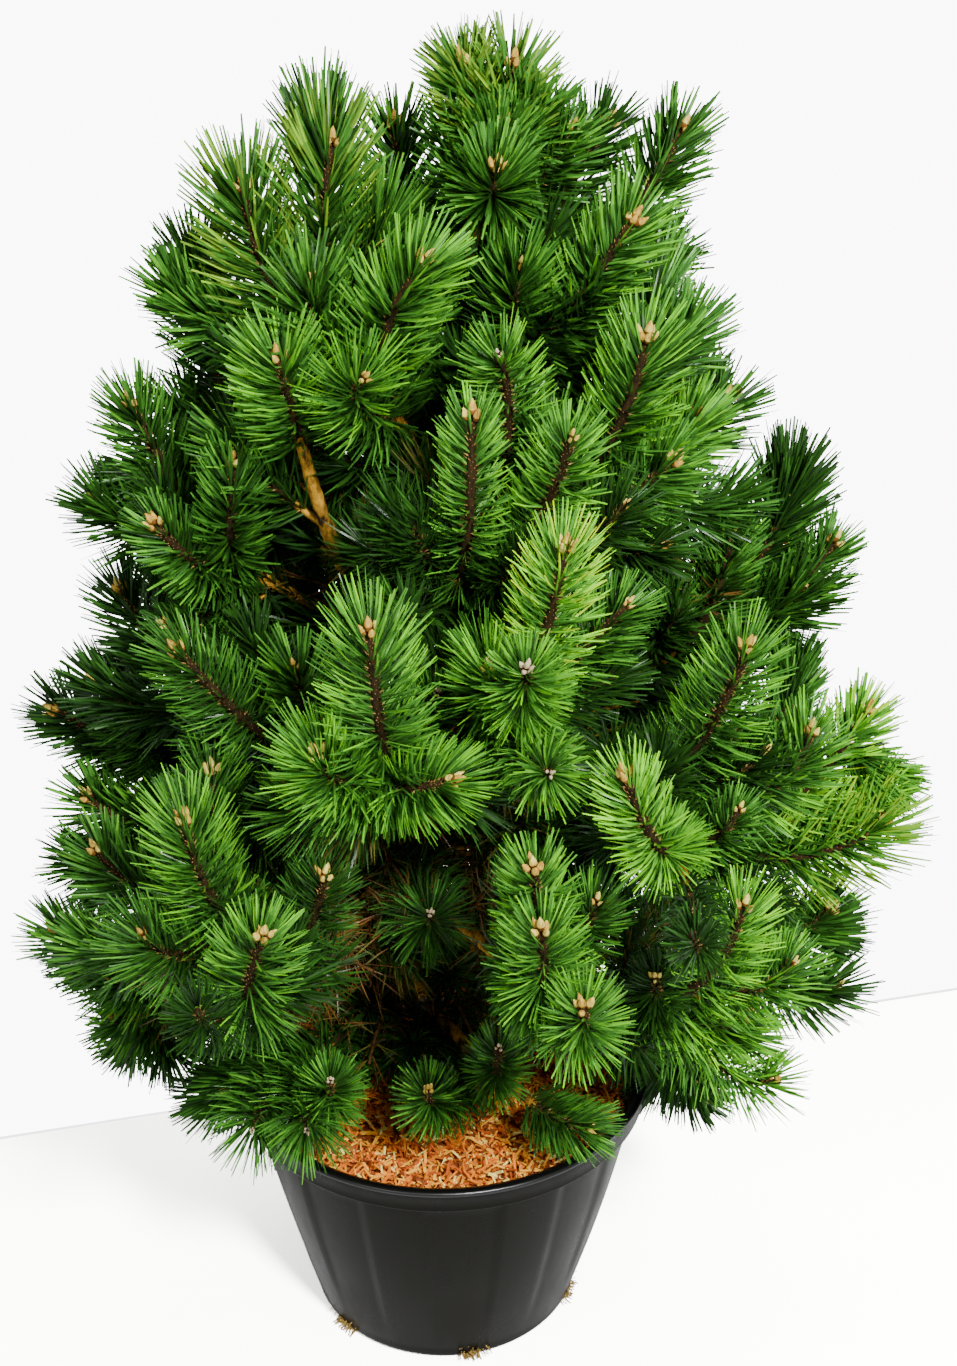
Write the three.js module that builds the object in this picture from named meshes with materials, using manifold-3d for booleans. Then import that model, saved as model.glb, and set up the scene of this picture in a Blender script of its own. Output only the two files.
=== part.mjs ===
// Potted mugo pine: a nursery pot, its bark mulch fill, one leaning trunk,
// main boughs, and foliage masses that each grow from one stem.
// Millimetres. +Z is up, the pot's flat underside is Z = 0, and -Y is the front.
import * as THREE from 'three';
import { mergeVertices } from 'three/addons/utils/BufferGeometryUtils.js';
import Module from 'manifold-3d';

const wasm = await Module();
wasm.setup();

// ---------------------------------------------------------------- driving sizes
const GAP = 0.3;                 // clearance between neighbouring solids

const POT_HEIGHT = 308;
const LIP_RADIUS = 235;          // outside of the rolled lip
const COLLAR_RADIUS = 231;       // outside of the collar band
const COLLAR_HEIGHT = 23;
const SHOULDER_RADIUS = 222;     // body just under the collar
const BASE_RADIUS = 156;         // body just over the rounded bottom edge
const BASE_ROUNDING = 12;
const POT_WALL = 4;
const POT_SIDES = 32;
const DRAIN_COUNT = 6;
const DRAIN_TURN = 12;           // azimuth of the first drain opening
const DRAIN_WIDTH = 24;
const DRAIN_HEIGHT = 9;

const MULCH_LEVEL = 276;         // at the wall
const MULCH_HEAP = 10;           // extra height at the trunk
const MULCH_ROUGH = 3;
const MULCH_RINGS = 4;
const MULCH_SECTORS = 18;

const SEAT_HEIGHT = MULCH_LEVEL + MULCH_HEAP;
const SEAT_RADIUS = 62;          // level patch that the trunk's flare stands on

const TRUNK_SIDES = 8;
const TRUNK_FLARE = 1.45;
const TRUNK_FLARE_HEIGHT = 60;
// Course of the trunk's axis: x, y, height, radius.
const TRUNK_COURSE = [
  [-80, 45, SEAT_HEIGHT + GAP, 27],
  [-70, 34, 420, 23],
  [-54, 22, 600, 20],
  [-40, 12, 760, 17],
  [-24, 4, 910, 14],
  [-4, 2, 1050, 11],
  [14, 0, 1160, 9],
  [28, -2, 1230, 7.5],
];

const BOUGH_SIDES = 5;
const BOUGH_RADIUS = 11;         // at the trunk, for a bough 600 mm long
const STEM_RADIUS = 6;           // where a bough hands over to its mass
const LEADER_SIDES = 4;
const SHOOT_SIDES = 3;
const CORE_RADIUS = 13;          // stem with the sheathed feet of its needles
const NEEDLE_REACH = 62;
const TIP_REACH = 50;            // needles beyond the bud
const LEADER_FOLIAGE = 200;
const SHOOT_FOLIAGE = 140;
const LEADER_RINGS = 5;
const SHOOT_RINGS = 3;
const WHORL_BELOW = 150;         // side shoots leave the leader this far under its bud
const SHORTEST_SHOOT = 100;      // a shorter side shoot is left out
const START_HANDLE = 0.3;        // of a limb's reach, along its first heading
const END_HANDLE = 0.58;         // and back along its last
const SAG = 40;                  // the most a limb's course is drawn below its start
const SHARPEST_BEND = 0.8;       // cosine of the bend past which a stretch bears no needles
const OWN_SPACE = 3;             // a needle keeps this much nearer to its own shoot
const SEED = 4711;

// A leader's bud: its azimuth (0 front, 90 right, 180 back), distance from the pot's
// axis, height, the azimuth that its last stretch leans to and the rise of that stretch,
// and the whorl of shoots below it: how many, the turn of the first, how far they spread
// from the leader and how far under its bud theirs are.
function bud(at, reach, height, facing, rise, shoots, turn, spread, drop) {
  return { at, reach, height, facing, rise, shoots, turn, spread, drop };
}

// A mass: the height where its limb leaves the trunk, the length of the limb that is
// its own stem (all of it where that is 0), and its leaders.
function mass(name, leave, stem, ...buds) {
  return { name, leave, stem, buds };
}

const MASSES = [
  mass('top', 1228, 0,
    bud(74, 71, 1405, 107, 83, 2, -160, 55, 60),
    bud(57, 27, 1406, -98, 77, 2, 170, 55, 60),
    bud(26, 120, 1329, 50, 77, 2, -60, 60, 90),
    bud(50, 78, 1353, 67, 73, 0, 150, 60, 60)),
  mass('top_left', 1000, 260,
    bud(-77, 100, 1336, 77, 81, 1, 160, 65, 70),
    bud(-83, 181, 1296, -68, 84, 2, -160, 75, 90)),
  mass('upper_front', 1030, 0,
    bud(-4, 158, 1259, 69, 52, 3, -130, 60, 90)),
  mass('left_shoulder', 850, 240,
    bud(-43, 205, 1172, -29, 72, 2, -100, 70, 95)),
  mass('left_high', 830, 260,
    bud(-86, 298, 1090, -72, 70, 2, -170, 65, 80),
    bud(-58, 225, 1063, 141, 84, 0, -140, 70, 90),
    bud(-95, 236, 1184, -92, 73, 1, 180, 60, 90),
    bud(-64, 293, 1007, -67, 55, 1, -170, 60, 80)),
  mass('front_high', 880, 280,
    bud(7, 261, 1152, 1, 88, 2, -90, 50, 110),
    bud(23, 293, 1137, 23, 65, 1, 120, 60, 80),
    bud(13, 239, 1199, -18, 49, 1, 160, 60, 80)),
  mass('right_high', 960, 270,
    bud(45, 258, 1199, 48, 78, 2, 120, 65, 90),
    bud(86, 280, 1098, 88, 55, 2, -160, 60, 75),
    bud(50, 272, 1086, 74, 49, 1, 180, 55, 70)),
  mass('top_right', 1090, 270,
    bud(59, 201, 1284, 69, 59, 2, 160, 60, 90),
    bud(94, 225, 1343, 88, 63, 1, -160, 50, 90),
    bud(101, 159, 1347, 88, 55, 2, -20, 50, 80)),
  mass('yellow_front', 770, 280,
    bud(19, 335, 1056, 46, 79, 1, -70, 55, 100),
    bud(12, 369, 967, 0, 51, 2, 150, 60, 60),
    bud(36, 286, 970, 85, 52, 1, 170, 50, 70)),
  mass('middle_front', 725, 260,
    bud(-9, 347, 991, -39, 84, 1, -120, 60, 120),
    bud(-17, 344, 870, -51, 61, 1, -130, 60, 70),
    bud(2, 335, 848, 65, 26, 1, 180, 60, 70),
    bud(0, 270, 902, 16, 48, 0, 100, 50, 50)),
  mass('left_middle', 670, 260,
    bud(-51, 309, 908, -69, 56, 2, 180, 65, 80),
    bud(-88, 325, 892, -104, 65, 2, 160, 65, 75)),
  mass('left_outer', 600, 270,
    bud(-91, 408, 748, -82, 35, 2, -120, 65, 70),
    bud(-85, 375, 667, -85, 55, 2, 170, 65, 60)),
  mass('left_front', 560, 270,
    bud(-40, 361, 774, -86, 83, 1, 160, 60, 100),
    bud(-75, 368, 637, -88, 64, 2, 170, 65, 70),
    bud(-49, 290, 779, 136, 86, 1, 100, 55, 70)),
  mass('front_low_left', 520, 250,
    bud(-21, 423, 726, 45, 66, 2, -90, 60, 70),
    bud(-19, 318, 730, 30, 71, 0, 110, 55, 60)),
  mass('front_inner', 600, 0,
    bud(-3, 201, 628, 2, 58, 2, 150, 50, 60)),
  mass('left_low', 440, 260,
    bud(-86, 425, 497, -91, 44, 2, -130, 60, 70),
    bud(-80, 368, 407, -55, 56, 1, -110, 60, 60)),
  mass('front_low_right', 560, 260,
    bud(12, 405, 795, -23, 73, 1, 50, 55, 60),
    bud(12, 435, 751, -22, 76, 0, 70, 60, 70),
    bud(16, 459, 684, -18, 64, 0, 80, 60, 60)),
  mass('right_middle', 640, 270,
    bud(53, 353, 918, 54, 75, 2, 130, 65, 110),
    bud(65, 392, 809, 79, 81, 1, 10, 60, 90),
    bud(23, 414, 874, -107, 69, 1, 60, 60, 110),
    bud(48, 374, 771, 77, 69, 0, 160, 60, 80),
    bud(80, 362, 825, 146, 79, 0, -120, 55, 60)),
  mass('right_high_outer', 730, 270,
    bud(93, 351, 984, 105, 70, 1, -130, 60, 90),
    bud(84, 290, 966, 129, 79, 1, 40, 55, 70),
    bud(89, 393, 943, 92, 62, 0, -170, 50, 70)),
  mass('right_outer', 570, 280,
    bud(84, 463, 648, 81, 59, 1, 30, 60, 80),
    bud(90, 444, 751, 98, 64, 2, -160, 55, 70)),
  mass('front_right_low', 480, 270,
    bud(42, 418, 703, 46, 78, 2, -60, 65, 80),
    bud(51, 384, 534, 33, 66, 1, 160, 65, 60),
    bud(34, 363, 620, -17, 59, 0, 80, 55, 50)),
  mass('right_low', 430, 260,
    bud(87, 421, 521, 91, 55, 3, -160, 65, 70),
    bud(73, 291, 343, 42, 14, 2, 140, 65, 50)),
  mass('rim_left', 350, 0,
    bud(-33, 257, 376, 9, 4, 1, -110, 60, 40),
    bud(-66, 261, 343, -44, -1, 2, -110, 60, 45),
    bud(-30, 231, 426, 8, 67, 0, 100, 60, 40)),
  mass('rim_right', 380, 0,
    bud(38, 247, 362, 69, 18, 0, 130, 50, 40),
    bud(16, 209, 467, -2, 70, 0, 90, 50, 40),
    bud(-4, 211, 422, 3, 67, 0, 90, 50, 40)),
  mass('back_top', 1120, 0,
    bud(-145, 73, 1339, -119, 85, 2, 150, 60, 80),
    bud(140, 160, 1225, 140, 70, 2, 150, 70, 80)),
  mass('back_high_left', 940, 0,
    bud(-120, 240, 1130, -120, 60, 2, 60, 80, 80),
    bud(-160, 225, 1120, -160, 62, 2, 150, 80, 80)),
  mass('back_high_right', 920, 0,
    bud(143, 250, 1110, 143, 60, 2, 30, 80, 80),
    bud(116, 290, 1050, 116, 55, 2, 150, 80, 80)),
  mass('back_left', 740, 270,
    bud(-117, 370, 900, -117, 50, 2, 30, 80, 70),
    bud(-150, 360, 930, -150, 55, 2, 180, 80, 80)),
  mass('back', 720, 270,
    bud(180, 350, 960, 180, 60, 2, 60, 80, 80),
    bud(167, 400, 820, 167, 40, 2, 180, 80, 70)),
  mass('back_right', 680, 270,
    bud(139, 383, 900, 139, 50, 2, 0, 80, 70),
    bud(117, 425, 860, 117, 48, 2, 120, 80, 70)),
  mass('back_low_left', 520, 270,
    bud(-123, 427, 600, -123, 28, 2, 30, 80, 60),
    bud(-151, 440, 700, -151, 38, 2, 0, 80, 60),
    bud(-175, 442, 600, -175, 30, 2, 180, 80, 60)),
  mass('back_low_right', 540, 270,
    bud(146, 446, 640, 146, 35, 2, 0, 80, 60),
    bud(119, 457, 560, 119, 24, 2, 180, 80, 60),
    bud(172, 410, 500, 172, 20, 2, 0, 80, 60)),
  mass('rim_back', 370, 0,
    bud(-154, 312, 420, -154, 10, 2, 0, 75, 45),
    bud(158, 305, 410, 158, 10, 2, 0, 75, 45)),
];

// ---------------------------------------------------------------- small helpers
const RAD = Math.PI / 180;
const UP = new THREE.Vector3(0, 0, 1);
const V = (x, y, z) => new THREE.Vector3(x, y, z);
const mix = (a, b, t) => a + (b - a) * t;
const along = (a, b, t) => a.clone().lerp(b, t);
const plus = (a, b, k) => a.clone().addScaledVector(b, k);

// A small repeatable random source.
function dice(seed) {
  let a = seed >>> 0;
  return () => {
    a = (a + 0x6D2B79F5) >>> 0;
    let t = Math.imul(a ^ (a >>> 15), a | 1);
    t ^= t + Math.imul(t ^ (t >>> 7), t | 61);
    return ((t ^ (t >>> 14)) >>> 0) / 4294967296;
  };
}

function bezier(p0, p1, p2, p3, count) {
  const points = [];
  for (let i = 0; i <= count; i++) {
    const t = i / count;
    const s = 1 - t;
    const p = V(0, 0, 0);
    p.addScaledVector(p0, s * s * s);
    p.addScaledVector(p1, 3 * s * s * t);
    p.addScaledVector(p2, 3 * s * t * t);
    p.addScaledVector(p3, t * t * t);
    points.push(p);
  }
  return points;
}

// A polyline that knows its length, with the point and heading at any distance.
function course(points) {
  const at = [0];
  for (let i = 1; i < points.length; i++) at.push(at[i - 1] + points[i].distanceTo(points[i - 1]));
  const total = at[at.length - 1];
  const find = (d) => {
    let i = 1;
    while (i < at.length - 1 && at[i] < d) i++;
    return i;
  };
  const point = (d) => {
    const i = find(d);
    return along(points[i - 1], points[i], (d - at[i - 1]) / (at[i] - at[i - 1]));
  };
  const heading = (d) => {
    const step = 6;
    return point(Math.min(total, d + step)).sub(point(Math.max(0, d - step))).normalize();
  };
  return { total, point, heading };
}

// ---------------------------------------------------------------- closed tubes
// Rings of `sides` corners about stations {p, dir, r, turn}. Each facet between two rings
// is flat, or carries a needle spray: a four-sided spike to the point spike() returns.
// The last ring closes to a point where `apex` is given.
function tube(stations, sides, apex, spike) {
  const corners = [];
  const faces = [];
  let side = V(1, 0, 0);
  if (Math.abs(stations[0].dir.x) > 0.9) side = V(0, 1, 0);
  const rings = stations.map((s) => {
    side = side.addScaledVector(s.dir, -side.dot(s.dir)).normalize();
    const other = s.dir.clone().cross(side);
    const ring = [];
    for (let k = 0; k < sides; k++) {
      const a = (k + (s.turn || 0)) * 2 * Math.PI / sides;
      const out = side.clone().multiplyScalar(Math.cos(a)).addScaledVector(other, Math.sin(a));
      ring.push(corners.push(plus(s.p, out, s.r)) - 1);
    }
    return ring;
  });
  const spot = (i) => corners[i];
  for (let i = 0; i + 1 < rings.length; i++) {
    for (let k = 0; k < sides; k++) {
      const a = rings[i][k];
      const b = rings[i][(k + 1) % sides];
      const c = rings[i + 1][(k + 1) % sides];
      const d = rings[i + 1][k];
      const middle = spot(a).clone().add(spot(b)).add(spot(c)).add(spot(d)).multiplyScalar(0.25);
      const point = spike ? spike(i, k, middle) : null;
      if (point) {
        const e = corners.push(point) - 1;
        faces.push([a, b, e], [b, c, e], [c, d, e], [d, a, e]);
      } else {
        faces.push([a, b, d], [b, c, d]);
      }
    }
  }
  const first = rings[0];
  for (let k = 1; k + 1 < sides; k++) faces.push([first[0], first[k + 1], first[k]]);
  const last = rings[rings.length - 1];
  if (apex) {
    const e = corners.push(apex) - 1;
    for (let k = 0; k < sides; k++) faces.push([last[k], last[(k + 1) % sides], e]);
  } else {
    for (let k = 1; k + 1 < sides; k++) faces.push([last[0], last[k], last[k + 1]]);
  }
  return solidFrom(corners, faces);
}

function solidFrom(corners, faces) {
  const vertProperties = new Float32Array(corners.flatMap((p) => [p.x, p.y, p.z]));
  const triVerts = new Uint32Array(faces.flat());
  return new wasm.Manifold(new wasm.Mesh({ numProp: 3, vertProperties, triVerts }));
}

function solidOf(geometry) {
  const bare = geometry.clone();
  bare.deleteAttribute('normal');
  bare.deleteAttribute('uv');
  const merged = mergeVertices(bare, 1e-3);
  const vertProperties = new Float32Array(merged.attributes.position.array);
  const triVerts = new Uint32Array(merged.index.array);
  return new wasm.Manifold(new wasm.Mesh({ numProp: 3, vertProperties, triVerts }));
}

function largest(solid) {
  const bodies = solid.decompose();
  bodies.sort((a, b) => b.volume() - a.volume());
  return bodies[0];
}

function geometryOf(solid) {
  const mesh = solid.getMesh();
  const geometry = new THREE.BufferGeometry();
  geometry.setAttribute('position', new THREE.BufferAttribute(new Float32Array(mesh.vertProperties), 3));
  geometry.setIndex(new THREE.BufferAttribute(new Uint32Array(mesh.triVerts), 1));
  const flat = geometry.toNonIndexed();
  flat.computeVertexNormals();
  return flat;
}

// ---------------------------------------------------------------- trunk
function trunkAt(height) {
  let i = 1;
  while (i < TRUNK_COURSE.length - 1 && TRUNK_COURSE[i][2] < height) i++;
  const a = TRUNK_COURSE[i - 1];
  const b = TRUNK_COURSE[i];
  const t = (height - a[2]) / (b[2] - a[2]);
  return { p: V(mix(a[0], b[0], t), mix(a[1], b[1], t), height), r: mix(a[3], b[3], t) };
}

const TRUNK_TOP = TRUNK_COURSE[TRUNK_COURSE.length - 1][2];

function trunkSolid(grow) {
  const foot = TRUNK_COURSE[0];
  const stations = [];
  const flare = [0, 0.25, 0.6, 1];
  for (const f of flare) {
    const height = foot[2] + f * TRUNK_FLARE_HEIGHT;
    const here = trunkAt(height);
    const swell = 1 + (TRUNK_FLARE - 1) * (1 - f) * (1 - f);
    stations.push({ p: here.p, dir: UP.clone(), r: here.r * swell + grow });
  }
  for (const [x, y, height, r] of TRUNK_COURSE.slice(1)) {
    stations.push({ p: V(x, y, height), dir: UP.clone(), r: r + grow });
  }
  stations[stations.length - 1].p.z += grow;
  return tube(stations, TRUNK_SIDES);
}

const trunk = trunkSolid(0);
const trunkClearance = trunkSolid(GAP * 1.1);

// ---------------------------------------------------------------- layout of the crown
function outwards(azimuth) {
  return V(Math.sin(azimuth * RAD), -Math.cos(azimuth * RAD), 0);
}

// Heading of a leader's last stretch and the two directions across it.
function aim(azimuth, rise) {
  const out = outwards(azimuth);
  const dir = out.clone().multiplyScalar(Math.cos(rise * RAD)).addScaledVector(UP, Math.sin(rise * RAD));
  const back = out.clone().multiplyScalar(-Math.sin(rise * RAD)).addScaledVector(UP, Math.cos(rise * RAD));
  const right = V(-out.y, out.x, 0);
  return { out, dir, back, right };
}

const SAMPLES = 40;

function limbCourse(start, heading, tip, aimed) {
  const reach = start.distanceTo(tip);
  let handle = END_HANDLE * reach;
  const lowest = start.z - SAG;
  if (tip.z - aimed.dir.z * handle < lowest) handle = (tip.z - lowest) / aimed.dir.z;
  const p1 = plus(start, heading, START_HANDLE * reach);
  const p2 = plus(tip, aimed.dir, -Math.max(0.2 * reach, handle));
  return course(bezier(start, p1, p2, tip, SAMPLES));
}

// Every shoot of the crown: {mass, kind, line, from, foliage}.
function layOut() {
  const shoots = [];
  const boughs = [];
  MASSES.forEach((row, index) => {
    const random = dice(SEED + 101 * index);
    const root = trunkAt(Math.min(row.leave, TRUNK_TOP - 2)).p;
    let main = null;
    let handover = 0;
    row.buds.forEach((b, order) => {
      const tip = outwards(b.at).multiplyScalar(b.reach).addScaledVector(UP, b.height);
      const aimed = aim(b.facing, b.rise);
      let line;
      let from = 0;
      if (order === 0) {
        const level = V(tip.x - root.x, tip.y - root.y, 0);
        const spare = level.length();
        level.normalize();
        const lift = row.leave >= TRUNK_TOP - 2 ? 3 : 0.45;
        const heading = level.multiplyScalar(Math.min(1, spare / 60)).addScaledVector(UP, lift).normalize();
        line = limbCourse(root, heading, tip, aimed);
        handover = row.stem ? line.total - row.stem : 0;
        from = handover;
        main = line;
        if (row.stem) boughs.push({ mass: row.name, line, to: handover });
      } else {
        const fork = row.stem ? handover + 30 : main.total * 0.42;
        line = limbCourse(main.point(fork), main.heading(fork), tip, aimed);
      }
      const foliage = Math.min(LEADER_FOLIAGE, (line.total - from) * 0.86);
      shoots.push({ mass: row.name, kind: 'leader', line, from, foliage, order, first: order === 0 });
      for (let k = 0; k < b.shoots; k++) {
        const a = (b.turn + k * 360 / b.shoots + (random() - 0.5) * 30) * RAD;
        const spread = b.spread * (0.85 + 0.3 * random());
        const drop = b.drop * (0.8 + 0.4 * random());
        const across = aimed.back.clone().multiplyScalar(Math.cos(a));
        across.addScaledVector(aimed.right, Math.sin(a));
        const end = plus(plus(tip, aimed.dir, -drop), across, spread);
        const below = Math.min(line.total - from - 20, Math.max(WHORL_BELOW, drop + 90));
        const start = line.point(line.total - below);
        const reach = start.distanceTo(end);
        const leave = line.heading(line.total - below).multiplyScalar(0.55).addScaledVector(across, 0.8);
        const close = aimed.dir.clone().addScaledVector(across, 0.35).normalize();
        const p1 = plus(start, leave.normalize(), 0.4 * reach);
        const p2 = plus(end, close, -0.35 * reach);
        const side = course(bezier(start, p1, p2, end, SAMPLES));
        shoots.push({ mass: row.name, kind: 'side', line: side, from: 0,
          foliage: Math.min(SHOOT_FOLIAGE, side.total * 0.82), first: false });
      }
    });
  });
  return { shoots, boughs };
}

const { shoots, boughs } = layOut();

// ---------------------------------------------------------------- solids of the crown
function boughRadius(bough, d) {
  const start = STEM_RADIUS + (BOUGH_RADIUS - STEM_RADIUS) * Math.min(1, bough.line.total / 600);
  return mix(start, STEM_RADIUS, d / bough.to);
}

function boughStations(bough) {
  const count = Math.max(2, Math.round(bough.to / 95));
  const stations = [];
  for (let i = 0; i <= count; i++) {
    const d = (bough.to - GAP / 2) * i / count;
    stations.push({ p: bough.line.point(d), dir: bough.line.heading(d), r: boughRadius(bough, d) });
  }
  stations[count].dir = bough.line.heading(bough.to);
  return stations;
}

// Stations of a shoot: a bare stem, then the foliage core.
function shootStations(shoot) {
  const { line, from, foliage } = shoot;
  const leader = shoot.kind === 'leader';
  const rings = leader ? LEADER_RINGS : SHOOT_RINGS;
  const leaf = line.total - foliage;
  const stations = [];
  const start = shoot.first && from > 0 ? from + GAP / 2 : from;
  const bareRadius = leader ? STEM_RADIUS : 4;
  const bare = Math.max(1, Math.round((leaf - start) / 120));
  for (let i = 0; i < bare; i++) {
    const d = mix(start, leaf, i / bare);
    const dir = shoot.first && from > 0 && i === 0 ? line.heading(from) : line.heading(d);
    stations.push({ p: line.point(d), dir, r: mix(bareRadius, bareRadius * 0.85, i / bare) });
  }
  const firstRing = stations.length;
  for (let i = 0; i <= rings; i++) {
    const d = mix(leaf, line.total, i / rings);
    const swell = i === 0 ? 0.55 : i === rings ? 0.75 : 1;
    stations.push({ p: line.point(d), dir: line.heading(d), r: CORE_RADIUS * swell, turn: i * 0.5 });
  }
  return { stations, firstRing, rings };
}

for (const bough of boughs) bough.stations = boughStations(bough);
for (const shoot of shoots) Object.assign(shoot, shootStations(shoot));

// Straight pieces of every axis, for the rule that keeps each shoot to its own space.
function pieces(owner, stations) {
  const list = [];
  for (let i = 0; i + 1 < stations.length; i++) {
    const r = Math.max(stations[i].r, stations[i + 1].r);
    list.push({ owner, a: stations[i].p, b: stations[i + 1].p, r });
  }
  return list;
}

function distance(p, piece) {
  const ab = piece.b.clone().sub(piece.a);
  const t = Math.max(0, Math.min(1, p.clone().sub(piece.a).dot(ab) / ab.lengthSq()));
  return p.distanceTo(plus(piece.a, ab, t));
}

const trunkStations = TRUNK_COURSE.map(([x, y, height, r]) => ({ p: V(x, y, height), r }));

// Room inside the pot's lip, and over it.
function meetsPot(p, margin) {
  const reach = Math.hypot(p.x, p.y);
  if (reach < LIP_RADIUS - 14) return p.z < SEAT_HEIGHT + MULCH_ROUGH + margin;
  return reach < LIP_RADIUS + margin && p.z < POT_HEIGHT + margin;
}

// Side shoots whose core would crowd another mass, a bough, the trunk or the pot are skipped.
function crowded(shoot, others) {
  for (let i = 1; i < shoot.stations.length; i++) {
    const s = shoot.stations[i];
    for (const mid of [s.p, along(s.p, shoot.stations[i - 1].p, 0.5)]) {
      if (meetsPot(mid, CORE_RADIUS + 4)) return true;
      for (const piece of others) {
        if (distance(mid, piece) < piece.r + CORE_RADIUS + 6) return true;
      }
    }
  }
  return false;
}

const fixed = [...pieces('trunk', trunkStations)];
for (const bough of boughs) fixed.push(...pieces(bough.mass + '_bough', bough.stations));
for (const shoot of shoots) if (shoot.kind === 'leader') fixed.push(...pieces(shoot, shoot.stations));
const kept = [];
for (const shoot of shoots) {
  if (shoot.kind === 'side') {
    if (shoot.line.total < SHORTEST_SHOOT) continue;
    const others = fixed.filter((piece) => piece.owner.mass !== shoot.mass);
    if (crowded(shoot, others)) continue;
    fixed.push(...pieces(shoot, shoot.stations));
  }
  kept.push(shoot);
}

// A needle spray stays only where it is nearer to its own shoot than to anything else.
function needleFits(shoot, root, point) {
  for (const t of [0.35, 0.6, 0.8, 1]) {
    const p = along(root, point, t);
    if (meetsPot(p, 3)) return false;
    let own = Infinity;
    let other = Infinity;
    for (const piece of fixed) {
      if (piece.owner === shoot) own = Math.min(own, distance(p, piece));
      else other = Math.min(other, distance(p, piece) - (piece.owner.mass ? 0 : piece.r));
    }
    if (other < own + OWN_SPACE) return false;
  }
  return true;
}

function shootSolid(shoot, random) {
  const { stations, firstRing, rings } = shoot;
  const sides = shoot.kind === 'leader' ? LEADER_SIDES : SHOOT_SIDES;
  const spike = (i, k, middle) => {
    const wobble = 0.85 + 0.3 * random();
    if (i < firstRing) return null;
    if (stations[i].dir.dot(stations[i + 1].dir) < SHARPEST_BEND) return null;
    const t = (i - firstRing) / Math.max(1, rings - 1);
    const axis = along(stations[i].p, stations[i + 1].p, 0.5);
    const dir = stations[i + 1].p.clone().sub(stations[i].p).normalize();
    const out = middle.clone().sub(axis);
    out.addScaledVector(dir, -out.dot(dir)).normalize();
    const lean = mix(68, 38, t) * RAD;
    const length = NEEDLE_REACH * wobble;
    const point = plus(plus(middle, out, length * Math.sin(lean)), dir, length * Math.cos(lean));
    return needleFits(shoot, middle, point) ? point : null;
  };
  const last = stations[stations.length - 1];
  let apex = plus(last.p, last.dir, TIP_REACH);
  for (const reach of [TIP_REACH, 34, 18]) {
    apex = plus(last.p, last.dir, reach);
    if (needleFits(shoot, last.p, apex)) break;
  }
  return tube(stations, sides, apex, spike);
}

// ---------------------------------------------------------------- pot
function potSolid() {
  const collarFoot = POT_HEIGHT - COLLAR_HEIGHT;
  const corner = BASE_ROUNDING * 0.3;
  const profile = [
    new THREE.Vector2(0, 0),
    new THREE.Vector2(BASE_RADIUS - BASE_ROUNDING, 0),
    new THREE.Vector2(BASE_RADIUS - corner, corner),
    new THREE.Vector2(BASE_RADIUS, BASE_ROUNDING),
    new THREE.Vector2(SHOULDER_RADIUS, collarFoot),
    new THREE.Vector2(COLLAR_RADIUS, collarFoot + 1),
    new THREE.Vector2(LIP_RADIUS, POT_HEIGHT - 4),
    new THREE.Vector2(LIP_RADIUS - 1, POT_HEIGHT),
    new THREE.Vector2(COLLAR_RADIUS - POT_WALL, POT_HEIGHT - 1),
    new THREE.Vector2(COLLAR_RADIUS - POT_WALL, collarFoot + 4),
    new THREE.Vector2(SHOULDER_RADIUS - POT_WALL, collarFoot - 2),
    new THREE.Vector2(BASE_RADIUS - POT_WALL, BASE_ROUNDING),
    new THREE.Vector2(BASE_RADIUS - BASE_ROUNDING, POT_WALL),
    new THREE.Vector2(0, POT_WALL),
  ];
  const lathe = new THREE.LatheGeometry(profile, POT_SIDES);
  lathe.rotateX(Math.PI / 2);
  let pot = solidOf(lathe);
  for (let k = 0; k < DRAIN_COUNT; k++) {
    const slot = new THREE.BoxGeometry(DRAIN_WIDTH, 40, DRAIN_HEIGHT + 8);
    slot.translate(0, -(BASE_RADIUS + 2), (DRAIN_HEIGHT - 8) / 2 + 3);
    slot.rotateZ((DRAIN_TURN + k * 360 / DRAIN_COUNT) * RAD);
    pot = pot.subtract(solidOf(slot));
  }
  return pot;
}

function innerRadius(z) {
  const collarFoot = POT_HEIGHT - COLLAR_HEIGHT;
  if (z >= collarFoot + 4) return COLLAR_RADIUS - POT_WALL;
  if (z >= collarFoot - 2) {
    const t = (z - collarFoot + 2) / 6;
    return mix(SHOULDER_RADIUS, COLLAR_RADIUS, t) - POT_WALL;
  }
  const t = (z - BASE_ROUNDING) / (collarFoot - 2 - BASE_ROUNDING);
  return mix(BASE_RADIUS, SHOULDER_RADIUS, Math.max(0, t)) - POT_WALL;
}

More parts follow.
